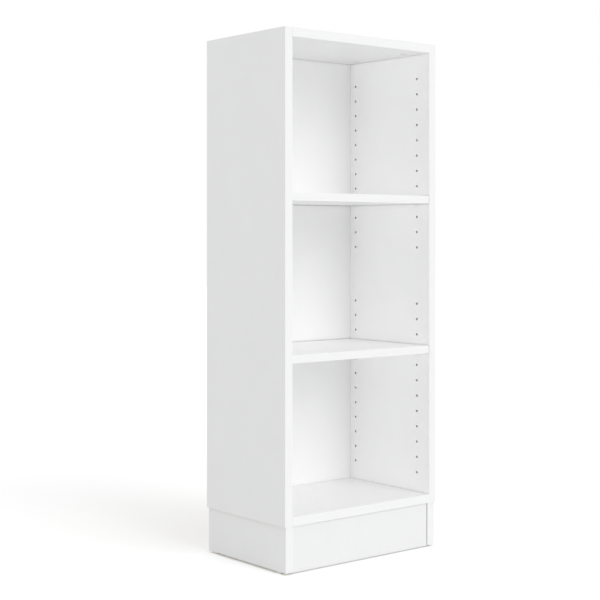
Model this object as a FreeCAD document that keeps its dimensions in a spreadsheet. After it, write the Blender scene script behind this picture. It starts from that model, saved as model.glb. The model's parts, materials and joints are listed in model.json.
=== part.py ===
import FreeCAD, Part
import os
import re
import Sketcher

# A slim flat-pack bookcase: an open carcass with two adjustable shelves, on a low base that holds a drawer.
# Millimetres. The front faces -Y, +X is to the right, +Z is up, and the floor is at Z = 0.
# The origin is at the middle of the carcass's outline on the floor.

SIZES = (
    # name, value, what it is
    ("width", 400, "carcass, across the side panels"),
    ("depth", 255, "carcass, over the edge bands"),
    ("height", 1040, "from the floor to the top"),
    ("board", 18, "thickness of the carcass and base boards"),
    ("band", 1, "thickness of the edge bands"),
    ("band_round", 0.5, "radius on the outer corners of an edge band"),
    ("hole_play", 0.1, "radial play of what sits in a drilled hole"),
    ("cut_past", 1, "how far a cut runs past an open edge"),
    # shelves and their pins
    ("shelf_board", 16, "thickness of the shelves"),
    ("shelf_drop", 2, "both shelves below the places that would make three equal compartments"),
    ("shelf_setback", 1, "shelf's front behind the side panel's front"),
    ("shelf_end_gap", 0.5, "between a shelf's end and the side panel"),
    ("shelf_rear_gap", 2, "between a shelf and the back panel"),
    ("pin_radius", 2.5, "shelf pin"),
    ("pin_length", 20, "shelf pin, end to end"),
    ("pin_sunk", 10, "shelf pin's length in the side panel"),
    ("pin_rise", 5, "pin's axis above the shelf's underside"),
    ("pin_tip", 0.5, "chamfer at the pin's ends"),
    ("pin_hole", 11, "depth of a pin hole"),
    ("slot_slack", 1, "free length at the inner end of a shelf's slot"),
    ("pin_pitch", 32, "between pin holes of a row"),
    ("pin_setback", 37, "front row of pin holes, from the front"),
    ("pin_rear_setback", 26, "rear row of pin holes, from the rear"),
    ("pin_margin", 28, "least distance from a pin hole to the next board"),
    # back panel
    ("sheet", 3, "thickness of the back panel and drawer bottom"),
    ("sheet_play", 0.2, "play of a sheet in its groove"),
    ("back_inset", 6, "back panel's rear face, from the rear edge"),
    ("back_groove", 6, "depth of the grooves for the back panel"),
    ("nail_radius", 0.8, "back panel nail"),
    ("nail_length", 20, "back panel nail, under its head"),
    ("nail_head_radius", 2.2, "back panel nail"),
    ("nail_head", 0.8, "back panel nail"),
    ("nails_apart", 150, "between back panel nails"),
    # knock-down fittings
    ("cam_radius", 7.5, "cam lock"),
    ("cam_depth", 12.5, "cam lock"),
    ("cam_setback", 24, "cam's axis from the board's end"),
    ("cam_hole", 13, "depth of a cam's hole"),
    ("cam_recess", 1.5, "depth of the driver cross in a cam"),
    ("cross_arm", 4.6, "half the driver cross's span"),
    ("cross_slot", 0.9, "half the width of the cross's arms"),
    ("claw_play", 0.5, "between a cam's claw and the bolt's head and neck"),
    ("claw_reach", 2.5, "claw's slot past the cam's axis"),
    ("bolt_radius", 2.5, "cam bolt's thread"),
    ("bolt_sunk", 11, "length of the thread"),
    ("bolt_hole", 11.5, "depth of the hole for the thread"),
    ("bolt_shank_radius", 3.5, "cam bolt's shank"),
    ("bolt_neck_radius", 1.9, "cam bolt's neck"),
    ("bolt_neck", 5.5, "length of the neck"),
    ("bolt_head_radius", 3.3, "cam bolt's head"),
    ("bolt_head", 4, "length of the head"),
    ("cover_radius", 8.6, "plastic cap over a cam"),
    ("cover", 1, "thickness of the cap"),
    ("dowel_radius", 4, "wooden dowel"),
    ("dowel_length", 30, "wooden dowel"),
    ("dowel_sunk", 10.5, "dowel's length in a board's face"),
    ("dowel_tip", 1, "chamfer at the dowel's ends"),
    ("dowel_slack", 0.5, "free depth at each end of a dowel"),
    ("fitting_inset", 50, "carcass cam bolts, from the front and rear"),
    ("dowel_step", 32, "from a carcass cam bolt to its dowel"),
    ("base_fitting_inset", 31, "base cam bolts, from the front and rear"),
    ("base_dowel_step", 35, "from a base cam bolt to its dowel"),
    ("rail_dowel_step", 24, "from the back rail's cam bolt to its dowels"),
    # base
    ("base_height", 91, "from the floor to the carcass"),
    ("glide_rise", 4, "height of the glides under the base"),
    ("glide_radius", 9, "glide"),
    ("glide_chamfer", 2, "around the glide's foot"),
    ("glide_pin_radius", 2, "glide's nail"),
    ("glide_pin", 12, "length of the glide's nail"),
    ("glide_inset", 22, "glide's axis from the base side's ends"),
    ("base_side_inset", 3, "base behind the carcass's sides"),
    ("base_front_inset", 2, "base behind the carcass's front"),
    ("base_rear_inset", 3, "base behind the carcass's rear"),
    # drawer
    ("front_setback", 2, "drawer front behind the base sides' front"),
    ("front_gap", 1.2, "around the drawer front's ends and top"),
    ("front_rise", 2.5, "drawer front above the floor"),
    ("box_board", 12, "thickness of the drawer box's boards"),
    ("box_gap", 6, "between the drawer box and the touch latch's housing"),
    ("box_rise", 16, "drawer box above the floor"),
    ("box_height", 58, "drawer box"),
    ("box_sheet_rise", 9, "drawer bottom above the box's lower edge"),
    ("box_groove", 5, "depth of the grooves for the drawer bottom"),
    # runners
    ("runner_space", 12.5, "between the drawer box and the base side"),
    ("steel", 1.2, "thickness of the folded rails"),
    ("rail_rear_gap", 20, "between the cabinet rail and the base's back rail"),
    ("rail_setback", 2, "cabinet rail behind the drawer front"),
    ("rail_reach", 9.5, "width of the cabinet rail's flanges"),
    ("rail_notch_start", 4, "way in for the drawer's roller, from the rail's front"),
    ("rail_notch", 26, "length of the way in"),
    ("rail_bend", 1, "outer radius of the cabinet rail's folds"),
    ("running_flange_gap", 2.4, "between the running flange and the base side"),
    ("running_gap", 0.3, "between a roller and what rolls on it"),
    ("lift_gap", 1, "between the running flange and the cabinet rail's top"),
    ("roller_radius", 8, "runner roller"),
    ("roller_width", 6, "runner roller"),
    ("roller_dish", 1, "depth of the dished sides"),
    ("roller_hub_radius", 3.8, "runner roller's hub"),
    ("roller_rim_radius", 6.6, "inside of the roller's rim"),
    ("roller_chamfer", 0.5, "at the roller's outer corners"),
    ("roller_gap", 3.4, "between a roller and the base side"),
    ("roller_rise", 30, "roller's axis above the floor"),
    ("roller_inset", 12, "roller's axis from its rail's end"),
    ("axle_radius", 2, "roller axle"),
    ("axle_side_play", 0.1, "between a roller and its axle's shoulder and head"),
    ("axle_shoulder_radius", 3, "roller axle's shoulder"),
    ("axle_head_radius", 3.2, "roller axle's head"),
    ("axle_head", 0.8, "thickness of the axle's head"),
    # screws
    ("small_screw_radius", 1.5, "rail and latch screws"),
    ("small_screw_length", 9, "rail and latch screws, under the head"),
    ("small_screw_head_radius", 3, "rail and latch screws"),
    ("small_screw_head", 1, "thickness of the rail and latch screws' heads"),
    ("rail_screw_inset", 30, "first and last rail screw, from the rail's ends"),
    ("corner_screw_radius", 1.75, "drawer corner screws"),
    ("corner_screw_length", 32, "drawer corner screws, under the head"),
    ("corner_screw_head_radius", 3.3, "drawer corner screws"),
    ("corner_screw_head", 2.2, "drawer corner screws"),
    ("corner_screw_rise", 32, "lower corner screw above the box's lower edge"),
    ("corner_screws_apart", 18, "between the screws of a corner"),
    ("front_screw_radius", 2, "drawer front screws"),
    ("front_screw_length", 25, "drawer front screws, under the head"),
    ("front_screw_head_radius", 4, "drawer front screws"),
    ("front_screw_head", 2.2, "drawer front screws"),
    ("front_screws_apart", 220, "between drawer front screws, across"),
    ("front_screw_rise", 29, "drawer front screws above the box's lower edge"),
    # touch latch behind the drawer
    ("latch_width", 24, "touch latch's housing"),
    ("latch_height", 20, "touch latch's housing"),
    ("latch_depth", 18, "touch latch's housing"),
    ("latch_rise", 45, "touch latch's axis above the floor"),
    ("ear_width", 44, "touch latch, across its ears"),
    ("ear", 2.5, "thickness of the latch's ears"),
    ("latch_screws_apart", 34, "between the latch's screws"),
    ("plunger_radius", 4, "latch's plunger"),
    ("plunger_bore", 14, "depth of the plunger's bore"),
    ("plunger_sunk", 13, "plunger's length in its bore"),
)

# Places that several boards share, in terms of the sizes above.
FRONT = "-depth / 2"
REAR = "depth / 2"
INNER_X = "(width / 2 - board)"
CLEAR_HEIGHT = "((height - base_height - 2 * board - 2 * shelf_board) / 3)"
TOP_Z = "(height - board)"
LOWER_SHELF_Z = f"(base_height + board + {CLEAR_HEIGHT} - shelf_drop)"
UPPER_SHELF_Z = f"({LOWER_SHELF_Z} + shelf_board + {CLEAR_HEIGHT})"
BACK_Y = "(depth / 2 - back_inset - sheet)"
PIN_FRONT_Y = "(pin_setback - depth / 2)"
PIN_REAR_Y = "(depth / 2 - pin_rear_setback)"
BASE_INNER_X = "(width / 2 - base_side_inset - board)"
BASE_FRONT_Y = "(base_front_inset - depth / 2)"
BASE_REAR_Y = "(depth / 2 - base_rear_inset)"
BASE_DOWEL_X = "(width / 2 - (base_side_inset + board) / 2)"
RAIL_Y = f"({BASE_REAR_Y} - board)"
RAIL_MID_Z = "((base_height + glide_rise) / 2)"
FRONT_BOARD_Y = f"({BASE_FRONT_Y} + front_setback)"
BOX_Y = f"({FRONT_BOARD_Y} + board)"
BOX_REAR_Y = f"({RAIL_Y} - latch_depth - box_gap)"
BOX_LENGTH = f"({BOX_REAR_Y} - {BOX_Y})"
BOX_X = f"({BASE_INNER_X} - runner_space)"
CABINET_RAIL_Y = f"({BOX_Y} + rail_setback)"
CABINET_RAIL_LENGTH = f"({RAIL_Y} - rail_rear_gap - {CABINET_RAIL_Y})"
CABINET_ROLLER_Y = f"({CABINET_RAIL_Y} + roller_inset)"
DRAWER_ROLLER_Y = f"({BOX_REAR_Y} - roller_inset)"
CHANNEL_FLOOR_Z = "(roller_rise - roller_radius - running_gap)"
RUNNING_FLANGE_Z = "(roller_rise + roller_radius + running_gap)"
CHANNEL_TOP_Z = f"({RUNNING_FLANGE_Z} + steel + lift_gap)"

NAILS_X = ("-nails_apart", "0", "nails_apart")
NAIL_Z = "(base_height + board / 2)"

NAMES = {name for name, value, note in SIZES}
SIDES = (("left", -1), ("right", 1))
NORMALS = {"YZ_Plane": 1, "XZ_Plane": -1, "XY_Plane": 1}
NEAR = 0.01

doc = FreeCAD.newDocument("Bookcase")
sheet = doc.addObject("Spreadsheet::Sheet", "Sizes")
for row, (name, value, note) in enumerate(SIZES, start=1):
    sheet.set(f"A{row}", note)
    sheet.set(f"B{row}", str(value))
    sheet.setAlias(f"B{row}", name)
doc.recompute()

subparts = []


def cells(text):
    """The expression text with each size's name written as a cell of the sheet."""
    return re.sub(r"[a-z_]+", lambda word: f"Sizes.{word[0]}" if word[0] in NAMES else word[0], str(text))


def number(text):
    """The value of an expression, rounded so that a zero is found as such."""
    return round(float(sheet.evalExpression(cells(text))), 9)


def bind(item, prop, text):
    item.setExpression(prop, cells(text))


def place(item, x="0", y="0", z="0"):
    for axis, text in zip("xyz", (x, y, z)):
        bind(item, f"Placement.Base.{axis}", text)


def new_body(label):
    body = doc.addObject("PartDesign::Body", label)
    body.Label = label
    return body


def origin_feature(body, role):
    return next(item for item in body.Origin.OriginFeatures if item.Role == role)


def new_sketch(body, plane="XY_Plane", at="0"):
    """A sketch on one of the body's origin planes, moved to the coordinate at along the plane's own axis."""
    sketch = body.newObject("Sketcher::SketchObject", "Sketch")
    sketch.AttachmentSupport = [(origin_feature(body, plane), "")]
    sketch.MapMode = "FlatFace"
    bind(sketch, "AttachmentOffset.Base.z", f"{NORMALS[plane]} * ({at})")
    return sketch


def hold_point(sketch, geometry, end, x, y):
    """Ties a point of the sketch to both axes."""
    for kind, text, axis in (("DistanceX", x, -2), ("DistanceY", y, -1)):
        if number(text) == 0:
            sketch.addConstraint(Sketcher.Constraint("PointOnObject", geometry, end, axis))
        else:
            index = sketch.addConstraint(Sketcher.Constraint(kind, -1, 1, geometry, end, number(text)))
            bind(sketch, f"Constraints[{index}]", text)


def draw_outline(sketch, corners):
    """A closed outline of straight lines."""
    points = [FreeCAD.Vector(number(x), number(y), 0) for x, y in corners]
    first = sketch.GeometryCount
    for start, end in zip(points, points[1:] + points[:1]):
        sketch.addGeometry(Part.LineSegment(start, end), False)
    for index, (x, y) in enumerate(corners):
        following = first + (index + 1) % len(corners)
        sketch.addConstraint(Sketcher.Constraint("Coincident", first + index, 2, following, 1))
        hold_point(sketch, first + index, 1, x, y)


def draw_circles(sketch, radius, centres):
    for x, y in centres:
        centre = FreeCAD.Vector(number(x), number(y), 0)
        circle = sketch.addGeometry(Part.Circle(centre, FreeCAD.Vector(0, 0, 1), number(radius)), False)
        hold_point(sketch, circle, 3, x, y)
        index = sketch.addConstraint(Sketcher.Constraint("Radius", circle, number(radius)))
        bind(sketch, f"Constraints[{index}]", radius)


def box_corners(low_x, high_x, low_y, high_y):
    return ((low_x, low_y), (high_x, low_y), (high_x, high_y), (low_x, high_y))


def add_pad(body, sketch, plane, length):
    """Thickens a sketch along the positive axis of its plane."""
    pad = body.newObject("PartDesign::Pad", "Pad")
    pad.Profile = sketch
    bind(pad, "Length", length)
    pad.Reversed = NORMALS[plane] < 0
    body.Tip = pad
    return pad


def add_prism(body, plane, corners, length, at="0"):
    sketch = new_sketch(body, plane, at)
    draw_outline(sketch, corners)
    return add_pad(body, sketch, plane, length)


def add_rod(body, plane, radius, centres, length, at="0"):
    sketch = new_sketch(body, plane, at)
    draw_circles(sketch, radius, centres)
    return add_pad(body, sketch, plane, length)


def add_cut(body, sketch, plane, depth, towards):
    """Removes material from a sketch's plane, towards +1 or -1 along the plane's own axis."""
    cut = body.newObject("PartDesign::Pocket", "Pocket")
    cut.Profile = sketch
    bind(cut, "Length", depth)
    cut.Reversed = towards * NORMALS[plane] > 0
    body.Tip = cut
    return cut


def drill(body, plane, at, towards, radius, depth, centres):
    sketch = new_sketch(body, plane, at)
    draw_circles(sketch, radius, centres)
    return add_cut(body, sketch, plane, depth, towards)


def rout(body, plane, at, towards, depth, corners):
    sketch = new_sketch(body, plane, at)
    draw_outline(sketch, corners)
    return add_cut(body, sketch, plane, depth, towards)


def repeat_upwards(body, feature, spacing, count):
    pattern = body.newObject("PartDesign::LinearPattern", "Row")
    pattern.Originals = [feature]
    pattern.Direction = (origin_feature(body, "Z_Axis"), [""])
    pattern.Mode = "Spacing"
    bind(pattern, "Offset", spacing)
    body.Tip = pattern
    bind(pattern, "Occurrences", count)
    return pattern


def mirror(body, features, plane):
    mirrored = body.newObject("PartDesign::Mirrored", "Mirrored")
    mirrored.Originals = features
    mirrored.MirrorPlane = (origin_feature(body, plane), [""])
    body.Tip = mirrored
    return mirrored


def round_edges(body, feature, radius, chosen):
    """Rounds the edges of a feature for which chosen(middle, direction) is true."""
    doc.recompute()
    names = []
    for index, edge in enumerate(feature.Shape.Edges, start=1):
        direction = edge.tangentAt(edge.FirstParameter)
        if chosen(edge.CenterOfMass, direction):
            names.append(f"Edge{index}")
    fillet = body.newObject("PartDesign::Fillet", "Fillet")
    fillet.Base = (feature, names)
    bind(fillet, "Radius", radius)
    body.Tip = fillet
    return fillet


def turned_body(label, plane, axis, outline):
    """A body turned about the horizontal or vertical axis of its sketch."""
    body = new_body(label)
    sketch = new_sketch(body, plane)
    draw_outline(sketch, outline)
    turning = body.newObject("PartDesign::Revolution", "Revolution")
    turning.Profile = sketch
    turning.ReferenceAxis = (sketch, [axis])
    turning.Angle = 360
    body.Tip = turning
    return body


def turn(x_axis, z_axis):
    """The rotation that carries a fitting's own X and Z axes to the two given ones."""
    x_axis = FreeCAD.Vector(*x_axis)
    z_axis = FreeCAD.Vector(*z_axis)
    return FreeCAD.Rotation(x_axis, z_axis.cross(x_axis), z_axis, "ZXY")


def along(point, direction, distance):
    """The point moved by a distance along a direction of the frame."""
    return tuple(f"({text} + {step} * ({distance}))" for text, step in zip(point, direction))


def copies(label, original, places):
    """Separate copies of one fitting in a single node: each place is a point, an X axis and a Z axis."""
    links = []
    for index, (point, x_axis, z_axis) in enumerate(places):
        link = doc.addObject("App::Link", f"{label}_{index}")
        link.LinkedObject = original
        link.Placement = FreeCAD.Placement(FreeCAD.Vector(), turn(x_axis, z_axis))
        place(link, *point)
        links.append(link)
    gather(label, links)


def gather(label, items):
    """One sub-part made of separate solids."""
    group = doc.addObject("Part::Compound", label)
    group.Label = label
    group.Links = items
    subparts.append(group)


def finish(body):
    subparts.append(body)


# ---------------------------------------------------------------- edge bands

def edge_band(label, plane, corners, thickness, at, outer):
    """One strip of edging, rounded along each long edge for which outer(middle) is true."""
    body = new_body(label)
    pad = add_prism(body, plane, corners, thickness, at)
    doc.recompute()
    size = pad.Shape.BoundBox
    spans = {"x": size.XLength, "y": size.YLength, "z": size.ZLength}
    long_axis = max(spans, key=spans.get)

    def chosen(middle, direction):
        return abs(getattr(direction, long_axis)) > 1 - NEAR and outer(middle)

    round_edges(body, pad, "band_round", chosen)
    return body


def front_band(label, corners, face_y):
    """An edge band on a front edge, whose visible face is at face_y."""
    limit = number(face_y) + number("band") / 2
    return edge_band(label, "XZ_Plane", corners, "band", face_y, lambda middle: middle.y < limit)


# ---------------------------------------------------------------- knock-down fittings

def across(inset):
    """The two places from front to rear that lie an inset in from the carcass's front and rear."""
    return f"(({inset}) - depth / 2)", f"(depth / 2 - ({inset}))"


CARCASS_BOLTS_Y = across("fitting_inset")
CARCASS_DOWELS_Y = across("fitting_inset + dowel_step")
BASE_BOLTS_Y = across("base_fitting_inset")
BASE_DOWELS_Y = across("base_fitting_inset + base_dowel_step")
BOARD_LEVELS = ("base_height", TOP_Z)
RAIL_CENTRE_Y = f"({RAIL_Y} + board / 2)"
BASE_BOLT_X = "(width / 2 - base_side_inset - board / 2)"
RAIL_DOWELS_Z = (f"({RAIL_MID_Z} - rail_dowel_step)", f"({RAIL_MID_Z} + rail_dowel_step)")
LATCH_SCREWS = [(f"{side} * latch_screws_apart / 2", "latch_rise") for name, side in SIDES]
FRONT_SCREWS = [(f"{side} * front_screws_apart / 2", "(box_rise + front_screw_rise)") for name, side in SIDES]


def list_seams():
    """Bolts and dowels, each with its point on a board's face, its way in and the way the cam faces."""
    bolts = []
    dowels = []
    for name, side in SIDES:
        inward = (-side, 0, 0)
        drilled = (side, 0, 0)
        for level in BOARD_LEVELS:
            z = f"({level} + board / 2)"
            bolts += [((f"{side} * {INNER_X}", y, z), inward, (0, 0, 1)) for y in CARCASS_BOLTS_Y]
            dowels += [((f"{side} * {INNER_X}", y, z), inward, (0, 0, 1)) for y in CARCASS_DOWELS_Y]
        down = (0, 0, -1)
        bolts += [((f"{side} * {BASE_BOLT_X}", y, "base_height"), down, drilled) for y in BASE_BOLTS_Y]
        dowels += [((f"{side} * {BASE_DOWEL_X}", y, "base_height"), down, drilled) for y in BASE_DOWELS_Y]
        bolts.append(((f"{side} * {BASE_INNER_X}", RAIL_CENTRE_Y, RAIL_MID_Z), inward, (0, 1, 0)))
        dowels += [((f"{side} * {BASE_INNER_X}", RAIL_CENTRE_Y, z), inward, (0, 1, 0)) for z in RAIL_DOWELS_Z]
    return bolts, dowels


def drill_face(body, plane, at, towards, bolts, dowels):
    """The shallow holes in a board's face for the bolts' threads and the dowels."""
    drill(body, plane, at, towards, "bolt_radius + hole_play", "bolt_hole", bolts)
    drill(body, plane, at, towards, "dowel_radius + hole_play", "dowel_sunk + dowel_slack", dowels)


def drill_end(body, plane, at, towards, bolts, dowels):
    """The deep holes in a board's end for the bolts' shanks and the dowels."""
    shank = drill(body, plane, at, towards, "bolt_shank_radius + hole_play", "cam_setback", bolts)
    depth = "dowel_length - dowel_sunk + dowel_slack"
    return [shank, drill(body, plane, at, towards, "dowel_radius + hole_play", depth, dowels)]


def build_cam_lock():
    """A cam with a driver cross in its face and a claw, open towards the bolt, that holds the bolt's head."""
    cam = new_body("cam_lock_original")
    add_rod(cam, "XY_Plane", "cam_radius", (("0", "0"),), "cam_depth")
    head_room = "(bolt_head_radius + claw_play)"
    neck_room = "(bolt_neck_radius + claw_play)"
    head_start = "(-bolt_head / 2 - claw_play)"
    rout(cam, "XY_Plane", "cam_depth", -1, f"cam_depth - board / 2 + {head_room}",
         box_corners(head_start, "claw_reach", f"-{head_room}", head_room))
    rout(cam, "XY_Plane", "cam_depth", -1, f"cam_depth - board / 2 + {neck_room}",
         box_corners("-cam_radius - cut_past", head_start, f"-{neck_room}", neck_room))
    cross = []
    for x, y in ((1, 1), (-1, 1), (-1, -1), (1, -1)):
        along_x = (f"{x} * cross_arm", f"{y} * cross_slot")
        inner = (f"{x} * cross_slot", f"{y} * cross_slot")
        along_y = (f"{x} * cross_slot", f"{y} * cross_arm")
        cross += [along_x, inner, along_y] if x == y else [along_y, inner, along_x]
    rout(cam, "XY_Plane", "0", 1, "cam_recess", cross)
    return cam


def build_cam_bolt():
    """A turned bolt along its own X axis: a thread up to 0, then a shank, a neck and the head in the cam."""
    head_start = "(cam_setback - bolt_head / 2)"
    head_end = "(cam_setback + bolt_head / 2)"
    neck_start = f"({head_start} - bolt_neck)"
    return turned_body("cam_bolt_original", "XY_Plane", "H_Axis", (
        ("-bolt_sunk", "0"), ("-bolt_sunk", "bolt_radius"), ("0", "bolt_radius"), ("0", "bolt_shank_radius"),
        (neck_start, "bolt_shank_radius"), (neck_start, "bolt_neck_radius"), (head_start, "bolt_neck_radius"),
        (head_start, "bolt_head_radius"), (head_end, "bolt_head_radius"), (head_end, "0")))


def rod_outline(start, end, radius, tip):
    """Half the length section of a rod with chamfered ends."""
    tip_radius = f"{radius} - {tip}"
    return ((start, "0"), (start, tip_radius), (f"{start} + {tip}", radius),
            (f"{end} - {tip}", radius), (end, tip_radius), (end, "0"))


def build_fittings():
    bolts, dowels = list_seams()
    cams = []
    for point, way_in, drilled in bolts:
        axis_point = along(point, way_in, "cam_setback")
        cams.append((along(axis_point, drilled, "-board / 2"), way_in, drilled))
    copies("cam_bolts", build_cam_bolt(), bolts)
    copies("cam_locks", build_cam_lock(), cams)
    cover = new_body("cam_cover_original")
    add_rod(cover, "XY_Plane", "cover_radius", (("0", "0"),), "cover", "-cover")
    copies("cam_covers", cover, cams)
    outline = rod_outline("-dowel_sunk", "dowel_length - dowel_sunk", "dowel_radius", "dowel_tip")
    copies("wooden_dowels", turned_body("dowel_original", "XY_Plane", "H_Axis", outline), dowels)


# ---------------------------------------------------------------- carcass

def build_side_panel(name, side):
    """A side panel, sketched where it stands in depth and height."""
    body = new_body(f"{name}_side_panel")
    outline = box_corners(f"{FRONT} + band", REAR, "base_height", "height - band")
    add_prism(body, "YZ_Plane", outline, "board")
    inner = "board" if side < 0 else "0"
    inwards = -1 if side < 0 else 1
    groove_low = f"{BACK_Y} - sheet_play"
    groove_high = f"{BACK_Y} + sheet + sheet_play"
    rout(body, "YZ_Plane", inner, inwards, "back_groove",
         box_corners(groove_low, groove_high, "base_height", f"{TOP_Z} + back_groove"))
    levels = [f"({level} + board / 2)" for level in BOARD_LEVELS]
    bolts = [(y, z) for z in levels for y in CARCASS_BOLTS_Y]
    dowels = [(y, z) for z in levels for y in CARCASS_DOWELS_Y]
    drill_face(body, "YZ_Plane", inner, inwards, bolts, dowels)
    base_bolt_x = f"(board / 2 - {side} * base_side_inset)"
    base_dowel_x = f"((board - {side} * base_side_inset) / 2)"
    drill_face(body, "XY_Plane", "base_height", 1,
               [(base_bolt_x, y) for y in BASE_BOLTS_Y], [(base_dowel_x, y) for y in BASE_DOWELS_Y])
    outer_count = f"floor(({CLEAR_HEIGHT} - pin_margin) / pin_pitch)"
    middle_count = f"floor(({CLEAR_HEIGHT} / 2 - pin_margin / 2) / pin_pitch - 0.5)"
    for shelf_z, below, above in ((LOWER_SHELF_Z, outer_count, middle_count),
                                  (UPPER_SHELF_Z, middle_count, outer_count)):
        lowest = f"({shelf_z} + pin_rise - pin_pitch * {below})"
        holes = drill(body, "YZ_Plane", inner, inwards, "pin_radius + hole_play", "pin_hole",
                      [(PIN_FRONT_Y, lowest), (PIN_REAR_Y, lowest)])
        repeat_upwards(body, holes, "pin_pitch", f"{below} + {above} + 1")
    place(body, x="-width / 2" if side < 0 else INNER_X)
    finish(body)


def build_side_edging(name, side):
    """Bands on a side panel's front and top edges."""
    low_x, high_x = ("-width / 2", f"-{INNER_X}") if side < 0 else (INNER_X, "width / 2")
    top_z = number("height - band / 2")
    front_corners = box_corners(low_x, high_x, "base_height", "height - band")
    front = front_band(f"{name}_front_band", front_corners, FRONT)
    top = edge_band(f"{name}_top_band", "XY_Plane", box_corners(low_x, high_x, FRONT, REAR),
                    "band", "height - band", lambda middle: middle.z > top_z)
    gather(f"{name}_side_edging", [front, top])


def build_level_board(label, level, rear):
    """The top or bottom panel, between the side panels, with the holes of its four corner fittings."""
    body = new_body(label)
    outline = box_corners(f"-{INNER_X}", INNER_X, f"{FRONT} + band", rear)
    add_prism(body, "XY_Plane", outline, "board")
    cams = [(f"{INNER_X} - cam_setback", y) for y in CARCASS_BOLTS_Y]
    bolts = [(y, "board / 2") for y in CARCASS_BOLTS_Y]
    dowels = [(y, "board / 2") for y in CARCASS_DOWELS_Y]
    holes = [drill(body, "XY_Plane", "0", 1, "cam_radius + hole_play", "cam_hole", cams)]
    holes += drill_end(body, "YZ_Plane", INNER_X, -1, bolts, dowels)
    mirror(body, holes, "YZ_Plane")
    place(body, z=level)
    return body


def build_shelf(label, shelf_z):
    """A shelf with blind slots under its ends that drop over the pins."""
    body = new_body(label)
    half = f"({INNER_X} - shelf_end_gap)"
    outline = box_corners(f"-{half}", half, f"{FRONT} + shelf_setback + band", f"{BACK_Y} - shelf_rear_gap")
    add_prism(body, "XY_Plane", outline, "shelf_board")
    room = "(pin_radius + hole_play)"
    slot_end = f"({half} - (pin_length - pin_sunk) - slot_slack)"
    slots = [rout(body, "XY_Plane", "0", 1, f"pin_rise + {room}",
                  box_corners(slot_end, f"{half} + cut_past", f"{y} - {room}", f"{y} + {room}"))
             for y in (PIN_FRONT_Y, PIN_REAR_Y)]
    mirror(body, slots, "YZ_Plane")
    place(body, z=shelf_z)
    finish(body)
    band_y = f"({FRONT} + shelf_setback)"
    band = front_band(f"{label}_edging", box_corners(f"-{half}", half, "0", "shelf_board"), band_y)
    place(band, z=shelf_z)
    finish(band)


def build_carcass():
    for name, side in SIDES:
        build_side_panel(name, side)
        build_side_edging(name, side)
    top = build_level_board("top_panel", TOP_Z, REAR)
    rout(top, "XY_Plane", "0", 1, "back_groove",
         box_corners(f"-{INNER_X}", INNER_X, f"{BACK_Y} - sheet_play", f"{BACK_Y} + sheet + sheet_play"))
    finish(top)
    bottom = build_level_board("bottom_panel", "base_height", BACK_Y)
    drill(bottom, "XZ_Plane", BACK_Y, -1, "nail_radius + hole_play", "nail_length",
          [(x, "board / 2") for x in NAILS_X])
    finish(bottom)
    for label, level in (("top_panel_edging", TOP_Z), ("bottom_panel_edging", "base_height")):
        band = front_band(label, box_corners(f"-{INNER_X}", INNER_X, "0", "board"), FRONT)
        place(band, z=level)
        finish(band)
    build_shelf("upper_shelf", UPPER_SHELF_Z)
    build_shelf("lower_shelf", LOWER_SHELF_Z)
    pin = turned_body("shelf_pin_original", "XY_Plane", "H_Axis",
                      rod_outline("-pin_sunk", "pin_length - pin_sunk", "pin_radius", "pin_tip"))
    copies("shelf_pins", pin, [
        ((f"{side} * {INNER_X}", y, f"({shelf_z} + pin_rise)"), (-side, 0, 0), (0, 0, 1))
        for shelf_z in (LOWER_SHELF_Z, UPPER_SHELF_Z)
        for name, side in SIDES
        for y in (PIN_FRONT_Y, PIN_REAR_Y)])


def build_back_panel():
    """The back panel in its grooves, nailed to the bottom panel's rear edge."""
    half = f"({INNER_X} + back_groove - sheet_play)"
    top = f"({TOP_Z} + back_groove - sheet_play)"
    body = new_body("back_panel")
    add_prism(body, "XZ_Plane", box_corners(f"-{half}", half, "base_height", top), "sheet")
    drill(body, "XZ_Plane", "0", 1, "nail_radius + hole_play", "sheet", [(x, NAIL_Z) for x in NAILS_X])
    place(body, y=BACK_Y)
    finish(body)
    nail = turned_body("nail_original", "XY_Plane", "H_Axis", (
        ("-nail_head", "0"), ("-nail_head", "nail_head_radius"), ("0", "nail_head_radius"),
        ("0", "nail_radius"), ("nail_length - 2 * nail_radius", "nail_radius"), ("nail_length", "0")))
    rear_face = f"({BACK_Y} + sheet)"
    copies("back_panel_nails", nail, [((x, rear_face, NAIL_Z), (0, -1, 0), (0, 0, 1)) for x in NAILS_X])


# ---------------------------------------------------------------- base

def rail_screws_y(start, length):
    """Three screws along a rail that starts at a given place."""
    end = f"{start} + {length}"
    return (f"({start} + rail_screw_inset)", f"({start} + {length} / 2)", f"({end} - rail_screw_inset)")


CABINET_SCREWS_Y = rail_screws_y(CABINET_RAIL_Y, CABINET_RAIL_LENGTH)
DRAWER_SCREWS_Y = rail_screws_y(BOX_Y, BOX_LENGTH)
BOX_BOARD_CENTRES_Y = (f"({BOX_Y} + box_board / 2)", f"({BOX_REAR_Y} - box_board / 2)")
CORNER_SCREWS_Z = ("(box_rise + corner_screw_rise)", "(box_rise + corner_screw_rise + corner_screws_apart)")


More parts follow.
